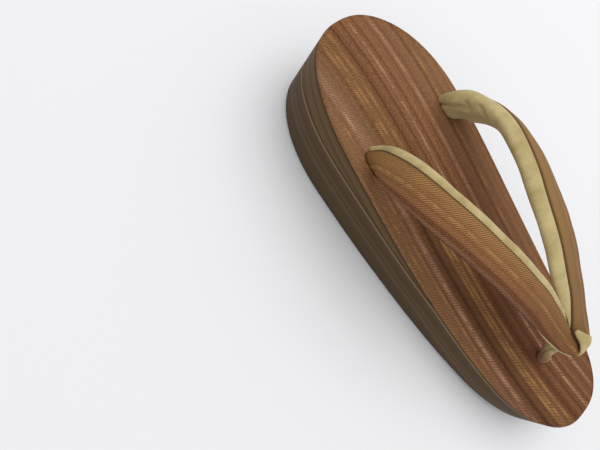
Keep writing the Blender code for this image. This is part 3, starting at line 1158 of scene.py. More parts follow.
@dataclass
class Sole:
    """The sole: a rubber sheet, a core, a heel wedge and the cloth-covered board on top.

    hole_rows says where the finer rows at the holes start, from the heel end, and how many there are.
    crown_from is a share of the half width. dip_edges, pull_reach and float_clearance are shares of a
    hole's oval.
    """

    last: Last
    outsole_thickness: float = 0.0018
    outsole_inset: float = 0.0008
    board_thickness: float = 0.0024
    board_round: float = 0.0014
    wedge_thickness: float = 0.0187
    wedge_length: float = 0.1340
    wedge_tip: float = 0.0008
    wedge_blend: float = 0.010
    fold_round: float = 0.0009
    round_limit: float = 0.42
    round_steps: int = 6
    wall_steps: int = 10
    rings_along: int = 220
    cells_across: int = 96
    hole_dip: float = 0.0030
    hole_pull: float = 0.0006
    crown: float = 0.0005
    unevenness: float = 0.00012
    float_lift: float = 0.00003
    float_margin: float = 0.0035
    float_step: float = 0.004
    float_clearance: float = 1.25
    crown_from: float = 0.55
    wave_length: float = 0.018
    dip_edges: tuple[float, float] = (0.72, 1.06)
    pull_reach: float = 1.5
    hole_row_step: float = 0.0007
    hole_rows: tuple[tuple[float, int], ...] = ((0.0545, 30), (0.1975, 16))
    tread_cells: int = 24
    tread_weld: float = 0.00002
    tread_crease: float = 40.0
    holes: tuple[Hole, ...] = (
        Hole(0.0277, 0.0646, 0.0033, 0.0068),
        Hole(-0.0277, 0.0646, 0.0033, 0.0068),
        Hole(0.0, 0.2030, 0.0034, 0.0034),
    )

    def board_under(self, place: float) -> float:
        """Return the height of the board's underside."""
        return self.last.top(place) - self.board_thickness

    def wedge_top(self, place: float) -> float:
        """Return the height of the heel wedge's top."""
        return self.board_under(place) - GAP

    def wedge_under(self, place: float) -> float:
        """Return the height of the heel wedge's underside."""
        depth = mix(self.wedge_thickness, self.wedge_tip, place / self.wedge_length)
        return self.wedge_top(place) - depth

    def core_top(self, place: float) -> float:
        """Return the height of the core's top: under the wedge, then softly up to the board."""
        end = self.wedge_length
        wedge = self.wedge_top(min(place, end)) - self.wedge_under(min(place, end))
        depth = mix(wedge, 0.0, ease(end, end + self.wedge_blend, place))
        return self.wedge_top(place) - depth - GAP * (1.0 - ease(end, end + GAP, place))

    def core_under(self, place: float) -> float:
        """Return the height of the core's underside."""
        return self.last.ground(place) + self.outsole_thickness + GAP

    def surface_relief(self, x: float, from_heel: float) -> float:
        """Return how far the top cloth stands off the board's plain surface."""
        half = max(self.last.half_width(from_heel), GAP)
        relief = -self.crown * ease(self.crown_from, 1.0, abs(x) / half)
        relief += self.unevenness * ripple(Vector((x, from_heel, 0.0)), self.wave_length, 2.0)
        for hole in self.holes:
            out = hole.nearness(x, from_heel)
            dip = self.hole_dip * (1.0 - ease(*self.dip_edges, out))
            relief -= dip + self.hole_pull * soft_hump(out, self.pull_reach)
        return relief

    def round_levels(
        self, under: Height, over: Height, radius_under: float, radius_over: float
    ) -> list[Level]:
        """Return the rings of a layer whose edges are rounded.

        Args:
            under: height of its underside.
            over: height of its upper face.
            radius_under: radius of the lower edge.
            radius_over: radius of the upper edge.

        Returns:
            The levels, the lowest first.
        """

        def limited(radius: float, place: float) -> float:
            """Keep a radius within the layer's thickness."""
            return min(radius, self.round_limit * (over(place) - under(place)))

        def lower_level(angle: float) -> Level:
            """Return a ring of the lower edge's round."""
            return Level(
                lambda place: limited(radius_under, place) * (1 - math.cos(angle)),
                lambda place: under(place) + limited(radius_under, place) * (1 - math.sin(angle)),
            )

        def wall_level(share: float) -> Level:
            """Return a ring of the upright wall."""
            return Level(
                lambda place: 0.0,
                lambda place: mix(
                    under(place) + limited(radius_under, place),
                    over(place) - limited(radius_over, place),
                    share,
                ),
            )

        def upper_level(angle: float) -> Level:
            """Return a ring of the upper edge's round."""
            return Level(
                lambda place: limited(radius_over, place) * (1 - math.cos(angle)),
                lambda place: over(place) - limited(radius_over, place) * (1 - math.sin(angle)),
            )

        turns = [math.pi / 2 * step / self.round_steps for step in range(self.round_steps + 1)]
        levels = [lower_level(angle) for angle in reversed(turns)]
        levels += [wall_level(step / self.wall_steps) for step in range(1, self.wall_steps)]
        return levels + [upper_level(angle) for angle in turns]

    def make_board(self, material: bpy.types.Material) -> bpy.types.Object:
        """Make the cloth-covered board, with the cloth drawn into the three holes."""
        step = self.hole_row_step
        extra = [start + step * index for start, count in self.hole_rows for index in range(count)]
        stations = self.last.stations(self.rings_along, extra=extra)
        layer = SoleLayer(self.last, stations, self.last.top, self.cells_across, self.surface_relief)
        levels = self.round_levels(self.board_under, self.last.top, self.fold_round, self.board_round)
        return dress(layer.make("top_cloth", levels, material), "top_board", Slot.TOP)

    def make_wedge(self, material: bpy.types.Material) -> bpy.types.Object:
        """Make the upper tier of the side, which thins out at the waist."""
        stations = self.last.stations(self.rings_along, end=self.wedge_length)
        layer = SoleLayer(self.last, stations, self.wedge_top)
        levels = self.round_levels(self.wedge_under, self.wedge_top, self.fold_round, self.fold_round)
        return dress(layer.make("upper_tier_cloth", levels, material), "heel_wedge", Slot.SIDE)

    def make_core(self, material: bpy.types.Material) -> bpy.types.Object:
        """Make the lower tier of the side, the whole length of the sole."""
        end = self.wedge_length + GAP
        stations = self.last.stations(self.rings_along, extra=(end - GAP / 4, end + GAP / 4))
        layer = SoleLayer(self.last, stations, self.core_top)
        levels = self.round_levels(self.core_under, self.core_top, self.fold_round, self.fold_round)
        return dress(layer.make("lower_tier_cloth", levels, material), "sole_core", Slot.SIDE)

    def make_outsole(self, material: bpy.types.Material) -> bpy.types.Object:
        """Make the rubber sheet that meets the floor, by a node recipe that follows the last's rule.

        Args:
            material: its finish.

        Returns:
            The new object.
        """
        last = self.last
        recipe = Recipe("tread sheet")
        length = recipe.size("Length", last.length)
        inset = recipe.size("Inset", self.outsole_inset)
        thickness = recipe.size("Thickness", self.outsole_thickness)
        spring = recipe.size("Toe spring", last.toe_spring)
        flat = recipe.size("Flat tread", last.flat_tread)
        widths = [
            recipe.size("Heel width", last.heel_width),
            recipe.size("Waist width", last.waist_width),
            recipe.size("Forefoot width", last.forefoot_width),
        ]
        heel_round = recipe.size("Heel round", last.heel_round)
        toe_round = recipe.size("Toe round", last.toe_round)
        cells = {"Vertices X": self.tread_cells + 1, "Vertices Y": self.rings_along}
        grid = recipe.add("GeometryNodeMeshGrid", None, {"Size X": 2.0, "Size Y": 1.0, **cells})
        position = recipe.add("GeometryNodeInputPosition")
        place = add_node(recipe.tree, "ShaderNodeSeparateXYZ", None, {0: position})
        side, share = Term(recipe.tree, place.outputs["X"]), Term(recipe.tree, place.outputs["Y"]) + 0.5
        share = 0.5 - (share * math.pi).apply("COSINE") * 0.5
        heel, waist, front = (
            self.weight_rule(share, last.width_places, here) * size
            for here, size in zip(last.width_places, widths)
        )
        width = heel + waist + front
        from_heel = share * length
        heel_end = self.end_rule(from_heel, heel_round, last.heel_power)
        toe_end = self.end_rule(length - from_heel, toe_round, last.toe_power)
        half = width * 0.5 * heel_end * toe_end
        half = half * (1.0 - inset * 2.0 / width)
        past_flat = (from_heel - flat).apply("MAXIMUM", 0.0) / (length - flat)
        rise = past_flat * past_flat * spring
        row_y = (share - 0.5) * (length - inset * 2.0)
        shape = recipe.add("ShaderNodeCombineXYZ", None, {"X": side * half, "Y": row_y, "Z": rise})
        under = recipe.add("GeometryNodeSetPosition", None, {"Geometry": grid, "Position": shape})
        raised = recipe.add(
            "GeometryNodeExtrudeMesh",
            {"mode": "FACES"},
            {"Mesh": under, "Offset": (0.0, 0.0, 1.0), "Offset Scale": thickness, "Individual": False},
        )
        underside = recipe.add("GeometryNodeFlipFaces", None, {"Mesh": under})
        both = add_node(recipe.tree, "GeometryNodeJoinGeometry")
        recipe.tree.links.new(raised, both.inputs[0])
        recipe.tree.links.new(underside, both.inputs[0])
        welded = recipe.add(
            "GeometryNodeMergeByDistance", None, {"Geometry": both.outputs[0], "Distance": self.tread_weld}
        )
        piece = recipe.run("tread_sheet", bpy.data.meshes.new("tread"), welded, material)
        turn_outwards(piece.data)
        piece.data.set_sharp_from_angle(angle=math.radians(self.tread_crease))
        return dress(piece, "outsole", Slot.OUTSOLE)

    @staticmethod
    def weight_rule(share: Term, places: Sequence[float], here: float) -> Term:
        """Return how much the width at one of the three places counts along the sole, as nodes."""
        first, second = (place for place in places if place != here)
        return (share - first) / (here - first) * (share - second) / (here - second)

    @staticmethod
    def end_rule(distance: Term, length: Term, power: float) -> Term:
        """Return the share of the full width at a distance from a round end, as nodes."""
        inside = (1.0 - distance / length).apply("MAXIMUM", 0.0)
        return (1.0 - inside.apply("POWER", power)).apply("MAXIMUM", 0.0).apply("POWER", 1.0 / power)

    def float_path(self, x: float) -> ThreadPath:
        """Return the line over the top cloth at a distance from the middle, as far as the cloth is flat."""
        steps = int(self.last.length / self.float_step)
        points = []
        for step in range(steps + 1):
            from_heel = self.last.length * step / steps
            if self.last.half_width(from_heel) < abs(x) + self.float_margin:
                continue
            if any(hole.nearness(x, from_heel) < self.float_clearance for hole in self.holes):
                continue
            height = self.last.top(from_heel) + self.surface_relief(x, from_heel) + self.float_lift
            points.append(Vector((x, from_heel - self.last.length / 2, height)))
        return ThreadPath(points, [Vector((0.0, 0.0, 1.0))] * len(points))


# The strap


class Section(NamedTuple):
    """A section of the strap.

    reach: share of the way forward. side: share of the hole's distance from the middle. lift: share
    of the strap's lift above the sole. roll: 0 stands upright, 90 lies flat, in degrees. width,
    outer, inner: shares of the half width and the two half thicknesses. seam: angle of the cover's
    inner edge, in degrees.
    """

    reach: float
    side: float
    lift: float
    roll: float
    width: float
    outer: float
    inner: float
    seam: float


@dataclass(frozen=True)
class SectionFrame:
    """Where a section lies and how big it is."""

    centre: Vector
    across: Vector
    facing: Vector
    width: float
    outer: float
    inner: float
    seam: float
    least: float = 0.3

    def point(self, angle: float, grow: float = 0.0) -> Vector:
        """Return a point on the section's oval, moved outwards by grow but kept off the centre."""
        thickness = self.outer if math.sin(angle) > 0.0 else self.inner
        wide = max(self.width + grow, self.least * self.width)
        thick = max(thickness + grow, self.least * thickness)
        return self.centre + self.across * (wide * math.cos(angle)) + self.facing * (thick * math.sin(angle))


@dataclass
class StrapRoute:
    """The right-hand strap's way from its hole to the tip; the left-hand one is its mirror image.

    socket holds the reach, side and width of the section at the socket's bottom.
    """

    last: Last
    hole_x: float = 0.0274
    hole_from_heel: float = 0.0640
    socket_depth: float = 0.0075
    tip_from_heel: float = 0.1918
    lift: float = 0.0344
    half_width: float = 0.0107
    outer: float = 0.0045
    inner: float = 0.0046
    nose_length: float = 0.0022
    socket: tuple[float, float, float] = (-0.016, 0.97, 0.66)
    direction_step: float = 0.05
    sections: tuple[Section, ...] = (
        Section(0.003, 1.00, 0.00, 2, 0.72, 0.82, 0.80, 47),
        Section(0.044, 1.10, 0.31, 23, 0.90, 0.95, 1.00, 51),
        Section(0.106, 1.14, 0.56, 45, 0.93, 1.00, 1.00, 55),
        Section(0.177, 1.12, 0.72, 60, 0.91, 1.00, 1.00, 58),
        Section(0.260, 1.06, 0.82, 71, 0.95, 0.99, 1.00, 60),
        Section(0.353, 0.95, 0.91, 77, 0.98, 0.97, 1.00, 62),
        Section(0.451, 0.82, 0.96, 81, 1.00, 0.94, 1.00, 64),
        Section(0.550, 0.69, 1.00, 83, 1.00, 0.90, 0.98, 64),
        Section(0.646, 0.56, 1.00, 84, 0.99, 0.86, 0.95, 64),
        Section(0.734, 0.43, 0.97, 85, 0.96, 0.82, 0.92, 63),
        Section(0.813, 0.34, 0.92, 87, 0.90, 0.78, 0.87, 62),
        Section(0.881, 0.26, 0.86, 91, 0.82, 0.75, 0.80, 56),
        Section(0.941, 0.20, 0.81, 97, 0.69, 0.72, 0.72, 40),
        Section(1.000, 0.12, 0.79, 104, 0.48, 0.70, 0.64, 20),
    )

    def __post_init__(self) -> None:
        """Put the section at the bottom of the socket first."""
        reach, side, width = self.socket
        lift = -self.socket_depth / self.lift
        socket = self.sections[0]._replace(reach=reach, side=side, lift=lift, width=width)
        self.rows = (socket, *self.sections)
        self.columns = list(zip(*self.rows))
        self.end = float(len(self.rows) - 1)

    def centre(self, place: float) -> Vector:
        """Return the centre of the strap; place counts in sections from the socket."""
        reach, side, lift = (smooth_at(self.columns[index], place) for index in range(3))
        from_heel = mix(self.hole_from_heel, self.tip_from_heel, reach)
        height = self.last.top(from_heel) + lift * self.lift
        centre = Vector((side * self.hole_x, from_heel - self.last.length / 2, height))
        if place > self.end:
            centre += (place - self.end) * self.nose_length * self.direction(self.end)
        return centre

    def direction(self, place: float) -> Vector:
        """Return the unit direction of the strap, from the hole to the tip."""
        low = max(place - self.direction_step, 0.0)
        high = min(place + self.direction_step, self.end)
        return (self.centre(high) - self.centre(low)).normalized()

    def frame(self, place: float) -> SectionFrame:
        """Work out the section at a place.

        Args:
            place: where it is, in sections from the socket.

        Returns:
            The section, which shrinks to nothing over the round nose.
        """
        roll, width, outer, inner, seam = (smooth_at(self.columns[index], place) for index in range(3, 8))
        beyond = max(place - self.end, 0.0)
        nose = math.sqrt(max(1.0 - beyond**2, 0.0))
        along = self.direction(min(place, self.end))
        upright = (Vector((0, 0, 1)) - along * along.z).normalized()
        outward = along.cross(upright)
        turn = math.radians(roll)
        return SectionFrame(
            self.centre(place),
            upright * math.cos(turn) - outward * math.sin(turn),
            outward * math.cos(turn) + upright * math.sin(turn),
            self.half_width * width * nose,
            self.outer * outer * nose,
            self.inner * inner * nose,
            math.radians(seam),
        )

    def places(self, per_section: int, nose_steps: int) -> list[float]:
        """Return the places of all sections, with a round nose past the last row."""
        count = int(self.end) * per_section
        places = [index / per_section for index in range(count + 1)]
        turn = math.pi / 2 / (nose_steps + 0.5)
        return places + [self.end + math.sin(turn * step) for step in range(1, nose_steps + 1)]


class Fold(NamedTuple):
    """A soft ridge or trough on the strap.

    side: the sign of X of the half that has it, or 0 for both. place: its middle, in sections.
    angle: its middle round the section, in degrees. along, round: its half reach in sections and in
    degrees. turn: degrees that it runs round the strap for each section. height: how far it stands
    out, below zero for a trough. END: half reaches past which a fold is too low to count.
    """

    side: float
    place: float
    angle: float
    along: float
    round: float
    turn: float
    height: float

    END = 3

    def at(self, side: float, place: float, degrees: float) -> float:
        """Return the fold's height at a point of the strap."""
        if self.side and self.side != side:
            return 0.0
        off_place = place - self.place
        off_angle = signed_angle(degrees - self.angle - self.turn * off_place)
        if abs(off_place) > self.END * self.along or abs(off_angle) > self.END * self.round:
            return 0.0
        return self.height * soft_hump(off_place, self.along) * soft_hump(off_angle, self.round)


class Crease(NamedTuple):
    """A sharp crease between two soft lobes of the padded strap.

    side: the sign of X of the half that has it. route: its way, as places in sections with degrees
    round the section. depth: how deep it is. width: its half width. puff: how far the cloth beside it
    swells. The lengths in capitals turn sections and degrees into metres on the cloth, PUFF_REACH is
    how many half widths the swelling reaches, and FADE is where the crease starts to run out.
    """

    side: float
    route: tuple[tuple[float, float], ...]
    depth: float
    width: float
    puff: float

    SECTION_LENGTH = 0.0105
    DEGREE_LENGTH = 0.00013
    PUFF_REACH = 3.2
    FADE = 0.55

    def at(self, side: float, place: float, degrees: float) -> float:
        """Work out the crease's height at a point of the strap.

        Args:
            side: the sign of X of the half.
            place: the point's section.
            degrees: its angle round the section.

        Returns:
            The height, below zero in the crease and above it beside it.
        """
        if self.side != side:
            return 0.0
        first = self.route[0][1]
        degrees = first + signed_angle(degrees - first)
        here = Vector((place * self.SECTION_LENGTH, degrees * self.DEGREE_LENGTH))
        knots = [Vector((x * self.SECTION_LENGTH, y * self.DEGREE_LENGTH)) for x, y in self.route]
        nearest, ending = math.inf, 0.0
        for index, (start, end) in enumerate(zip(knots, knots[1:])):
            step = end - start
            share = min(max((here - start).dot(step) / step.length_squared, 0.0), 1.0)
            distance = (start + step * share - here).length
            if distance < nearest:
                nearest, ending = distance, (index + share) / (len(knots) - 1)
        strength = 1.0 - ease(self.FADE, 1.0, ending)
        trough = soft_hump(nearest, self.width) * (self.depth + self.puff)
        return strength * (self.puff * soft_hump(nearest, self.PUFF_REACH * self.width) - trough)


@dataclass
class PaddedStrap:
    """The V-shaped padded strap: a brocade cover sewn to a crepe lining along two seams.

    Edges and turns are angles in degrees. calm_tip, near_turn_span and edge_span count in sections
    back from the tip, and far_turn_span and threads_from in sections from the socket's bottom.
    """

    route: StrapRoute
    wall: float = 0.0013
    outer_edge: float = 205.0
    tip_edge: float = 181.0
    per_section: int = 20
    nose_steps: int = 10
    cover_steps: int = 60
    lining_steps: int = 84
    back_steps: int = 36
    seam_roll: float = 0.0008
    seam_reach: float = 0.0011
    near_seam_turn: float = -12.0
    far_seam_turn: float = 15.0
    far_seam_depth: float = 0.55
    unevenness: float = 0.00016
    wave_length: float = 0.009
    calm_tip: float = 1.5
    near_turn_span: float = 2.0
    far_turn_span: tuple[float, float] = (4.0, 8.0)
    edge_span: tuple[float, float] = (4.5, 1.5)
    middle_weld: float = 2e-5
    angle_step: float = 0.02
    stitch_run: float = 0.0006
    stitch_sink: float = 0.00045
    column_run: float = 0.0085
    threads_from: float = 1.2
    threads_short: float = 0.3
    fill: float = 0.8
    folds: tuple[Fold, ...] = (
        Fold(-1.0, 2.3, 232, 1.0, 42, 0.0, 0.0024),
        Fold(-1.0, 3.6, 240, 0.9, 36, 0.0, 0.0012),
        Fold(-1.0, 1.5, 52, 0.85, 34, 0.0, 0.0021),
        Fold(-1.0, 0.6, 325, 0.60, 55, 0.0, -0.0015),
        Fold(1.0, 1.3, 155, 1.0, 45, 0.0, -0.0023),
        Fold(1.0, 1.35, 300, 0.55, 14, -14, -0.0005),
        Fold(0.0, 11.6, 120, 0.70, 26, 0.0, -0.0004),
    )
    creases: tuple[Crease, ...] = (
        Crease(
            -1.0, ((0.5, 320), (1.06, 316), (1.66, 315), (2.12, 300), (2.5, 262)), 0.0013, 0.0012, 0.0005
        ),
        Crease(-1.0, ((2.24, 302), (2.11, 322), (2.02, 345)), 0.0010, 0.0011, 0.0003),
        Crease(-1.0, ((3.20, 292), (2.83, 322), (2.58, 348)), 0.0013, 0.0012, 0.0004),
    )

    def relief(self, side: float, place: float, degrees: float, point: Vector) -> float:
        """Return how far the padding pushes the cloth out at a point."""
        here = sum(fold.at(side, place, degrees) for fold in self.folds)
        if place < self.creases_end:
            here += sum(crease.at(side, place, degrees) for crease in self.creases)
        off_tip = 1.0 - ease(self.route.end - self.calm_tip, self.route.end, place)
        return here + self.unevenness * off_tip * ripple(point, self.wave_length, 3.0 + side)

    @property
    def creases_end(self) -> float:
        """Return the place past which no crease reaches."""
        return max(place for crease in self.creases for place, _ in crease.route) + 1.0

    def seam_angle(self, section: SectionFrame, side: float, place: float) -> float:
        """Return the angle of the cover's inner edge, which differs a little between the halves."""
        end = self.route.end
        if side > 0.0:
            turn = self.near_seam_turn * (1.0 - ease(end - self.near_turn_span, end, place))
        else:
            turn = self.far_seam_turn * (1.0 - ease(*self.far_turn_span, place))
        return section.seam + math.radians(turn)

    def cover_edges(self, section: SectionFrame, side: float, place: float) -> tuple[float, float]:
        """Return the angles between which the cover spans the strap's outer face."""
        start, stop = (self.route.end - span for span in self.edge_span)
        share = ease(start, stop, place)
        end = math.radians(mix(self.outer_edge, self.tip_edge, share))
        return self.seam_angle(section, side, place), end

    def lining_edges(self, section: SectionFrame, side: float, place: float) -> tuple[float, float]:
        """Return the angles between which the lining spans the strap's inner face."""
        start, end = self.cover_edges(section, side, place)
        return end, start + 2 * math.pi

    def surface_point(self, side: float, place: float, angle: float) -> Vector:
        """Return a point of the padded surface on the half of the given side."""
        section = self.route.frame(place)
        grow = self.relief(side, place, math.degrees(angle), section.point(angle))
        return section.point(angle, grow) * mirror(side)

    def wall_ring(
        self,
        parts: MeshParts,
        side: float,
        place: float,
        along: float,
        edges: tuple[float, float],
        steps: int,
    ) -> list[int]:
        """Add one ring of a wall: out along its outer side and back along its inner side.

        Args:
            parts: the mesh being made.
            side: the sign of X of this half.
            place: the section's place.
            along: the length of strap up to here.
            edges: the angles between which the wall runs.
            steps: divisions of its outer side.

        Returns:
            The numbers of the ring's points.
        """
        section = self.route.frame(place)
        start, end = edges
        angles = [mix(start, end, step / steps) for step in range(steps + 1)]
        plain = [section.point(angle) for angle in angles]
        runs = [0.0]
        for before, after in zip(plain, plain[1:]):
            runs.append(runs[-1] + (after - before).length)
        flip = mirror(side)
        seam_roll = self.seam_roll * (1.0 if side > 0.0 else self.far_seam_depth)
        numbers = []
        for angle, run, point in zip(angles, runs, plain):
            edge = min(run, runs[-1] - run)
            grow = -seam_roll * soft_hump(edge, self.seam_reach)
            grow += self.relief(side, place, math.degrees(angle), point)
            numbers.append(parts.add(section.point(angle, grow) * flip, (along, side * run)))
        for step in range(self.back_steps + 1):
            angle = mix(end, start, step / self.back_steps)
            pressed = min(self.relief(side, place, math.degrees(angle), section.point(angle)), 0.0)
            inside = section.point(angle, pressed - self.wall)
            numbers.append(parts.add(inside * flip, (along, side * runs[-1])))
        return numbers

    def make_wall(
        self,
        name: str,
        edges: Callable[[SectionFrame, float, float], tuple[float, float]],
        steps: int,
        material: bpy.types.Material,
    ) -> bpy.types.Object:
        """Sweep one wall of the strap, from one hole over the tip to the other hole.

        Args:
            name: the piece's name.
            edges: gives the angles between which the wall runs.
            steps: divisions of its outer side.
            material: its finish.

        Returns:
            The new object.
        """
        parts = MeshParts.empty()
        for side in Side:
            rings = []
            along = 0.0
            before = None
            for place in self.route.places(self.per_section, self.nose_steps):
                section = self.route.frame(place)
                if before is not None:
                    along += (section.centre - before).length
                before = section.centre
                start, end = edges(section, side.value, place)
                margin = GAP / 2 / max(section.width, 6 * GAP)
                span = (start + margin, end - margin)
                rings.append(self.wall_ring(parts, side.value, place, along, span, steps))
            parts.join_rings(rings)
            parts.close(rings)
        piece = parts.make(name, material)
        turn_outwards(piece.data, self.middle_weld, self.cut_halves)
        return piece

    def cut_halves(self, shape: bmesh.types.BMesh) -> None:
        """Cut both halves off at the middle, where they meet."""
        for side in Side:
            self.cut_half(shape, side.value)

    @staticmethod
    def cut_half(shape: bmesh.types.BMesh, sign: float) -> None:
        """Cut off what reaches over the middle from one half.

        Args:
            shape: the mesh of both halves.
            sign: the sign of X of the half to cut.
        """
        for island in island_vertices(shape):
            middle = sum(vertex.co.x for vertex in island) / len(island)
            if middle * sign <= 0.0:
                continue
            chosen = set(island)
            edges = [edge for edge in shape.edges if edge.verts[0] in chosen]
            faces = [face for face in shape.faces if face.verts[0] in chosen]
            cut = bmesh.ops.bisect_plane(
                shape,
                geom=list(island) + edges + faces,
                dist=ON_PLANE,
                plane_co=(0, 0, 0),
                plane_no=(sign, 0, 0),
                clear_inner=True,
            )
            for element in cut["geom_cut"]:
                if isinstance(element, bmesh.types.BMVert):
                    element.co.x = 0.0

    def make_cover(self, material: bpy.types.Material) -> bpy.types.Object:
        """Make the brocade cover."""
        piece = self.make_wall("strap_cover_cloth", self.cover_edges, self.cover_steps, material)
        dress(piece, "strap_cover", Slot.STRAP)
        return piece

    def make_lining(self, material: bpy.types.Material) -> bpy.types.Object:
        """Make the crepe lining."""
        piece = self.make_wall("strap_lining_cloth", self.lining_edges, self.lining_steps, material)
        dress(piece, "strap_lining", Slot.LINING)
        return piece

    def thread_path(self, side: float, run: float, sink: float, first: float, last: float) -> ThreadPath:
        """Return a line along one half of the cover, a given distance from its seam with the lining.

        Args:
            side: the sign of X of the half.
            run: the distance round the strap from the seam.
            sink: how deep the line lies in the cloth.
            first: the place where it starts, in sections.
            last: the place where it ends.

        Returns:
            The line with its outward directions.
        """
        points, outward = [], []
        steps = int((last - first) * self.per_section)
        for step in range(steps + 1):
            place = mix(first, last, step / steps)
            section = self.route.frame(place)
            angle, travelled = self.seam_angle(section, side, place), 0.0
            before = section.point(angle)
            while travelled < run:
                angle += self.angle_step
                after = section.point(angle)
                travelled += (after - before).length
                before = after
            point = self.surface_point(side, place, angle)
            out = (self.surface_out(section, angle) * mirror(side)).normalized()
            points.append(point - out * sink)
            outward.append(out)
        return ThreadPath(points, outward)

    @staticmethod
    def surface_out(section: SectionFrame, angle: float) -> Vector:
        """Return the direction out of the strap at a point of a section."""
        step = 0.01
        along = section.point(angle + step) - section.point(angle - step)
        across = section.point(angle) - section.centre
        normal = across - along * (across.dot(along) / along.length_squared)
        return normal.normalized()


def island_vertices(shape: bmesh.types.BMesh) -> list[list[bmesh.types.BMVert]]:
    """Find the separate bodies of a mesh.

    Args:
        shape: the mesh.

    Returns:
        A list of vertices for each body.
    """
    seen = set()
    islands = []
    for start in shape.verts:
        if start in seen:
            continue
        seen.add(start)
        island = [start]
        for vertex in island:
            for edge in vertex.link_edges:
                other = edge.other_vert(vertex)
                if other not in seen:
                    seen.add(other)
                    island.append(other)
        islands.append(island)
    return islands


# The thong


class ThongRow(NamedTuple):
    """A section of the thong: where its centre is and its half width and half thickness."""

    from_heel: float
    height: float
    wide: float
    thick: float


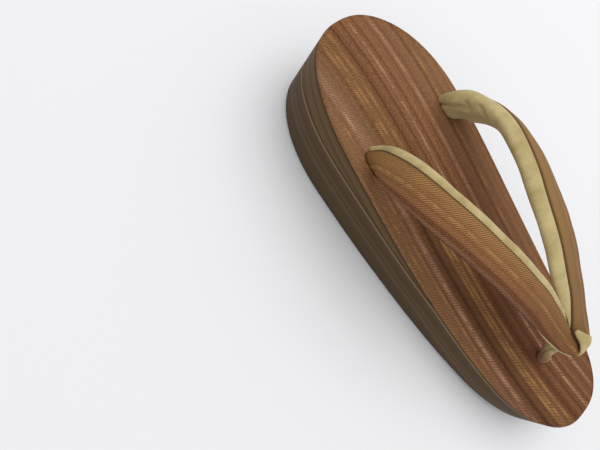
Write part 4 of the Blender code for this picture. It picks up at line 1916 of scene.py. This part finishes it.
@dataclass
class Thong:
    """The post between the toes and the band over the tips of the strap.

    Places count in rows from the socket's bottom. The band is narrower on the near side, at +X, and
    its rear edge runs askew: the far side, at -X, ends up to band_skew further forward.
    """

    route: StrapRoute
    hole_from_heel: float = 0.2030
    socket_depth: float = 0.0110
    radius: float = 0.0035
    band_half_width: float = 0.0045
    band_half_thickness: float = 0.0012
    band_reach: float = 0.0088
    band_skew: float = 0.0082
    near_share: float = 0.5
    post_share: float = 0.86
    band_from: float = 6.5
    band_shares: tuple[float, float, float] = (0.55, 0.9, 1.0)
    narrows: tuple[float, float] = (6.4, 8.0)
    pleats: tuple[float, ...] = (28.0, 152.0, 262.0)
    pleats_start: tuple[float, float] = (1.0, 2.0)
    pleats_end: tuple[float, float] = (3.6, 5.0)
    pleat_depth: float = 0.0007
    pleat_width: float = 16.0
    wrinkle: float = 0.00022
    wrinkle_length: float = 0.0022
    slope_step: float = 0.05
    sides: int = 72
    steps_per_row: int = 20
    oval_sides: int = 24
    crest_steps: int = 40
    crest_step: float = 0.2

    @property
    def half_length(self) -> float:
        """Return half the length of the sole."""
        return self.route.last.length / 2

    @property
    def tip(self) -> float:
        """Return how far from the heel the strap's tip is."""
        return self.route.centre(self.route.end).y + self.half_length

    def oval(self, place: float) -> list[Vector]:
        """Return the points round a section of the strap."""
        section = self.route.frame(place)
        turn = 2 * math.pi / self.oval_sides
        return [section.point(turn * side) for side in range(self.oval_sides)]

    def crest_at(self, y: float) -> float:
        """Return how high the strap's top line is over a place along the sole, near the tip."""
        line = []
        for step in range(self.crest_steps + 1):
            points = self.oval(self.route.end - step * self.crest_step)
            highest = max(points, key=lambda point: point.z)
            line.append((highest.y, highest.z))
        for (front, low), (back, high) in zip(line, line[1:]):
            if y >= back:
                return mix(low, high, min(max((front - y) / max(front - back, GAP), 0.0), 1.0))
        return line[-1][1]

    def rows(self) -> list[ThongRow]:
        """Return the thong's sections, from the socket's bottom to the band's end."""
        heights = [point.z for point in self.oval(self.route.end)]
        crest, under = max(heights), min(heights)
        tip, half = self.tip, self.half_length
        nose = tip + self.route.nose_length
        hole = self.hole_from_heel
        surface = self.route.last.top(hole)
        post = self.radius * self.post_share
        wide, thin = self.band_half_width, self.band_half_thickness
        middle, back, end = (tip - share * self.band_reach for share in self.band_shares)
        return [
            ThongRow(hole, surface - self.socket_depth, 0.92 * post, 0.92 * post),
            ThongRow(hole, surface, post, post),
            ThongRow(mix(hole, nose, 0.60), mix(surface, under, 0.30), post, 0.95 * post),
            ThongRow(mix(hole, nose, 0.95), mix(surface, under, 0.60), post, 0.84 * post),
            ThongRow(nose + 0.4 * thin, under - GAP - 1.6 * thin, mix(post, wide, 0.35), 1.45 * thin),
            ThongRow(nose + GAP + 1.15 * thin, mix(under, crest, 0.42), mix(post, wide, 0.72), 1.15 * thin),
            ThongRow(nose - 0.3 * thin, mix(under, crest, 0.95), mix(post, wide, 0.92), 1.05 * thin),
            ThongRow(tip, crest + GAP + 1.1 * thin, 1.12 * wide, 1.1 * thin),
            ThongRow(middle, self.crest_at(middle - half) + GAP + thin, 1.12 * wide, thin),
            ThongRow(back, self.crest_at(back - half) + GAP + 0.8 * thin, 1.06 * wide, 0.8 * thin),
            ThongRow(end, self.crest_at(end - half) + GAP + 0.4 * thin, 0.95 * wide, 0.4 * thin),
        ]

    def relief(self, place: float, degrees: float, point: Vector) -> float:
        """Return how far the gathered crepe stands out: pleats along the post and fine wrinkles."""
        above_sole = ease(*self.pleats_start, place)
        on_post = above_sole * (1.0 - ease(*self.pleats_end, place))
        here = 0.0
        for middle in self.pleats:
            off = signed_angle(degrees - middle)
            here -= self.pleat_depth * on_post * soft_hump(off, self.pleat_width)
        return here + self.wrinkle * above_sole * ripple(point, self.wrinkle_length, 5.0)

    def add_ring(self, parts: MeshParts, columns: Sequence[Sequence[float]], place: float) -> list[int]:
        """Add one ring of points round the thong.

        Args:
            parts: the mesh being made.
            columns: the rows' values, column by column.
            place: where the ring is.

        Returns:
            The numbers of the ring's points.
        """
        end = float(len(columns[0]) - 1)
        from_heel, height, wide, thick = (smooth_at(column, place) for column in columns)
        ahead = [smooth_at(column, min(place + self.slope_step, end)) for column in columns[:2]]
        behind = [smooth_at(column, max(place - self.slope_step, 0.0)) for column in columns[:2]]
        along = Vector((0.0, ahead[0] - behind[0], ahead[1] - behind[1])).normalized()
        sideways = Vector((1.0, 0.0, 0.0))
        outward = sideways.cross(along)
        centre = Vector((0.0, from_heel - self.half_length, height))
        on_band = place > self.band_from
        back_share = min(max((self.tip - from_heel) / self.band_reach, 0.0), 1.0) if on_band else 0.0
        near = mix(1.0, self.near_share, ease(*self.narrows, place))
        ring = []
        for index in range(self.sides):
            angle = 2 * math.pi * index / self.sides
            reach = wide * (near if math.cos(angle) > 0.0 else 1.0)
            out = sideways * (reach * math.cos(angle)) + outward * (thick * math.sin(angle))
            out += Vector((0.0, self.band_skew * back_share * max(-math.cos(angle), 0.0), 0.0))
            grow = self.relief(place, math.degrees(angle), centre + out)
            ring.append(parts.add(centre + out * (1.0 + grow / max(out.length, GAP)), (place, angle)))
        return ring

    def make(self, material: bpy.types.Material) -> bpy.types.Object:
        """Make the post and its band as one sweep of crepe."""
        columns = list(zip(*self.rows()))
        steps = (len(columns[0]) - 1) * self.steps_per_row
        parts = MeshParts.empty()
        rings = [self.add_ring(parts, columns, step / self.steps_per_row) for step in range(steps + 1)]
        parts.join_rings(rings)
        parts.close(rings)
        return dress(parts.make("thong_cloth", material), "front_thong", Slot.LINING)


# The studio


@dataclass(frozen=True)
class Studio:
    """A pale floor, soft light from above and the camera."""

    position: tuple[float, float, float] = (0.1469, -0.0629, 0.22228)
    forward: tuple[float, float, float] = (-0.3733, 0.0489, -0.9264)
    down: tuple[float, float, float] = (0.5602, 0.8079, -0.1831)
    lens: float = 27.0
    nearest: float = 0.005
    floor_half: float = 3.0
    floor_colour: str = "#e8e8e8"
    floor_roughness: float = 0.9
    sky_colour: str = "#fbfbff"
    sky_strength: float = 0.80
    key_place: tuple[float, float, float] = (-0.35, -0.10, 1.20)
    key_size: float = 1.2
    key_power: float = 7.5

    def make_camera(self) -> None:
        """Place the camera at the fitted angle."""
        forward = Vector(self.forward).normalized()
        down = Vector(self.down)
        down = (down - forward * down.dot(forward)).normalized()
        right = down.cross(forward)
        camera = bpy.data.objects.new("camera", bpy.data.cameras.new("camera"))
        camera.data.lens = self.lens
        camera.data.clip_start = self.nearest
        placed = Matrix((right, -down, -forward)).transposed().to_4x4()
        placed.translation = Vector(self.position)
        camera.matrix_world = placed
        bpy.context.scene.collection.objects.link(camera)
        bpy.context.scene.camera = camera

    def make_floor(self) -> None:
        """Lay the floor under the sole."""
        half = self.floor_half
        mesh = bpy.data.meshes.new("floor")
        corners = [(-half, -half, 0.0), (half, -half, 0.0), (half, half, 0.0), (-half, half, 0.0)]
        mesh.from_pydata(corners, [], [(0, 1, 2, 3)])
        material, _, shader = start_material("matt white paper")
        shader.inputs["Base Color"].default_value = linear(self.floor_colour)
        shader.inputs["Roughness"].default_value = self.floor_roughness
        mesh.materials.append(material)
        floor = bpy.data.objects.new("floor", mesh)
        bpy.context.scene.collection.objects.link(floor)

    def make_key_light(self) -> None:
        """Hang the large square lamp that points at the middle of the sandal."""
        lamp = bpy.data.objects.new("key_light", bpy.data.lights.new("key_light", "AREA"))
        lamp.data.energy = self.key_power
        lamp.data.size = self.key_size
        lamp.location = self.key_place
        lamp.rotation_mode = "QUATERNION"
        lamp.rotation_quaternion = (-Vector(self.key_place)).to_track_quat("-Z", "Y")
        bpy.context.scene.collection.objects.link(lamp)

    def make_sky(self) -> None:
        """Fill the room with even light."""
        world = bpy.data.worlds.new("room light")
        world.use_nodes = True
        background = world.node_tree.nodes["Background"]
        background.inputs["Color"].default_value = linear(self.sky_colour)
        background.inputs["Strength"].default_value = self.sky_strength
        bpy.context.scene.world = world

    def make(self) -> None:
        """Set up camera, floor and light."""
        self.make_camera()
        self.make_floor()
        self.make_sky()
        self.make_key_light()
        settings = bpy.context.scene.view_settings
        settings.view_transform = "Standard"
        settings.look = "None"


def lay_floats(sole: Sole) -> list[bpy.types.Object]:
    """Lay the raised floats of the top cloth's strongest bands, gold and rose.

    They are drawn 0.46 mm thick, coarser than the real ones, so that they show.

    Args:
        sole: the sole whose cloth gets them.

    Returns:
        One piece for each colour.
    """
    strong, wide, spread = 0.5, 2.2, 0.85
    gold = ThreadRow(
        "gold_floats",
        pitch=0.00105,
        length=0.0027,
        width=0.00046,
        height=0.0002,
        turn=48.0,
        worn=0.40,
        seed=11,
    )
    rose = replace(gold, name="rose_floats", seed=12)
    made = []
    for row, bands, finish in (
        (gold, TOP_CHART.gold, Thread("gold rayon floats", "#a87b48", "#7c552d")),
        (rose, TOP_CHART.rose, Thread("rose rayon floats", "#b48a69", "#8c6044")),
    ):
        paths = []
        for band in bands:
            if band.strength < strong:
                continue
            count = 1 if band.half_width < wide else 2
            for index in range(count):
                place = band.centre + (index - (count - 1) / 2) * band.half_width * spread
                paths.append(sole.float_path(place / PER_METRE))
        made.append(attach(row.make(paths, finish.make()), Slot.TOP))
    return made


def sew_strap(strap: PaddedStrap) -> list[bpy.types.Object]:
    """Sew the cover to the lining and lay the dotted column of floats on the cover.

    Args:
        strap: the strap to sew.

    Returns:
        The stitches and the floats.
    """
    start, end = strap.threads_from, strap.route.end - strap.threads_short
    stitches = ThreadRow(
        "seam_stitches",
        pitch=0.0017,
        length=0.0012,
        width=0.00034,
        height=0.0003,
        turn=0.0,
        worn=0.0,
        seed=21,
    )
    floats = ThreadRow(
        "strap_floats",
        pitch=0.0011,
        length=0.0021,
        width=0.00045,
        height=0.00022,
        turn=48.0,
        worn=0.38,
        seed=22,
    )
    made = []
    for row, run, sink, finish in (
        (stitches, strap.stitch_run, strap.stitch_sink, Thread("olive sewing thread", "#6d572f", "#43321a")),
        (floats, strap.column_run, 0.0, Thread("gold rayon floats, strap", "#a67d49", "#84592f")),
    ):
        paths = [strap.thread_path(side.value, run, sink, start, end) for side in Side]
        made.append(attach(row.make(paths, finish.make()), Slot.STRAP))
    return made


def main() -> None:
    """Build the sandal around the frame, then the studio, and report each piece."""
    logging.basicConfig(level=logging.INFO, format="%(message)s")
    last = Last()
    sole = Sole(last)
    strap = PaddedStrap(StrapRoute(last))
    thong = Thong(strap.route)
    top_cloth = Brocade(
        "woven brocade, top",
        TOP_CHART,
        follows_cloth=False,
        rib_pitch=0.74,
        unevenness=0.35,
        wander=0.35,
        rib_contrast=1.25,
        touch=Touch(rough=0.8, gloss=0.2, relief=0.9, depth=0.00018),
    )
    strap_cloth = Brocade(
        "woven brocade, strap",
        STRAP_CHART,
        follows_cloth=True,
        rib_pitch=0.88,
        unevenness=0.30,
        wander=0.25,
        rib_contrast=0.75,
        touch=Touch(rough=0.8, gloss=0.2, relief=0.5, depth=0.00018),
    )
    lower_cloth = SideCloth(
        "satin weave, lower tier",
        "#3f2f1b",
        "#4c3a24",
        "#5f4b31",
        # The first streak is a painted highlight along the tier's top edge, the second a streak of the cloth
        (Streak(1.2, 1.3, 0.55), Streak(16.5, 2.2, 0.16)),
    )
    upper_cloth = SideCloth(
        "satin weave, upper tier",
        "#403019",
        "#523f22",
        "#695232",
        (Streak(3.8, 2.0, 0.14), Streak(9.0, 2.4, 0.14)),
    )
    crepe = Crepe("cream crepe").make()
    pieces = [
        sole.make_outsole(SoleRubber("pressed sheet rubber").make()),
        sole.make_core(lower_cloth.make()),
        sole.make_wedge(upper_cloth.make()),
        sole.make_board(top_cloth.make()),
        *lay_floats(sole),
        strap.make_cover(strap_cloth.make()),
        strap.make_lining(crepe),
        *sew_strap(strap),
        # The post gets painted shade low down
        thong.make(Crepe("cream crepe, painted shade low on the post", low_shade_share=0.9).make()),
    ]
    Studio().make()
    for piece in pieces:
        piece.data.calc_loop_triangles()
        LOG.info("%s: %d triangles", piece.name, len(piece.data.loop_triangles))


if __name__ == "__main__":
    main()
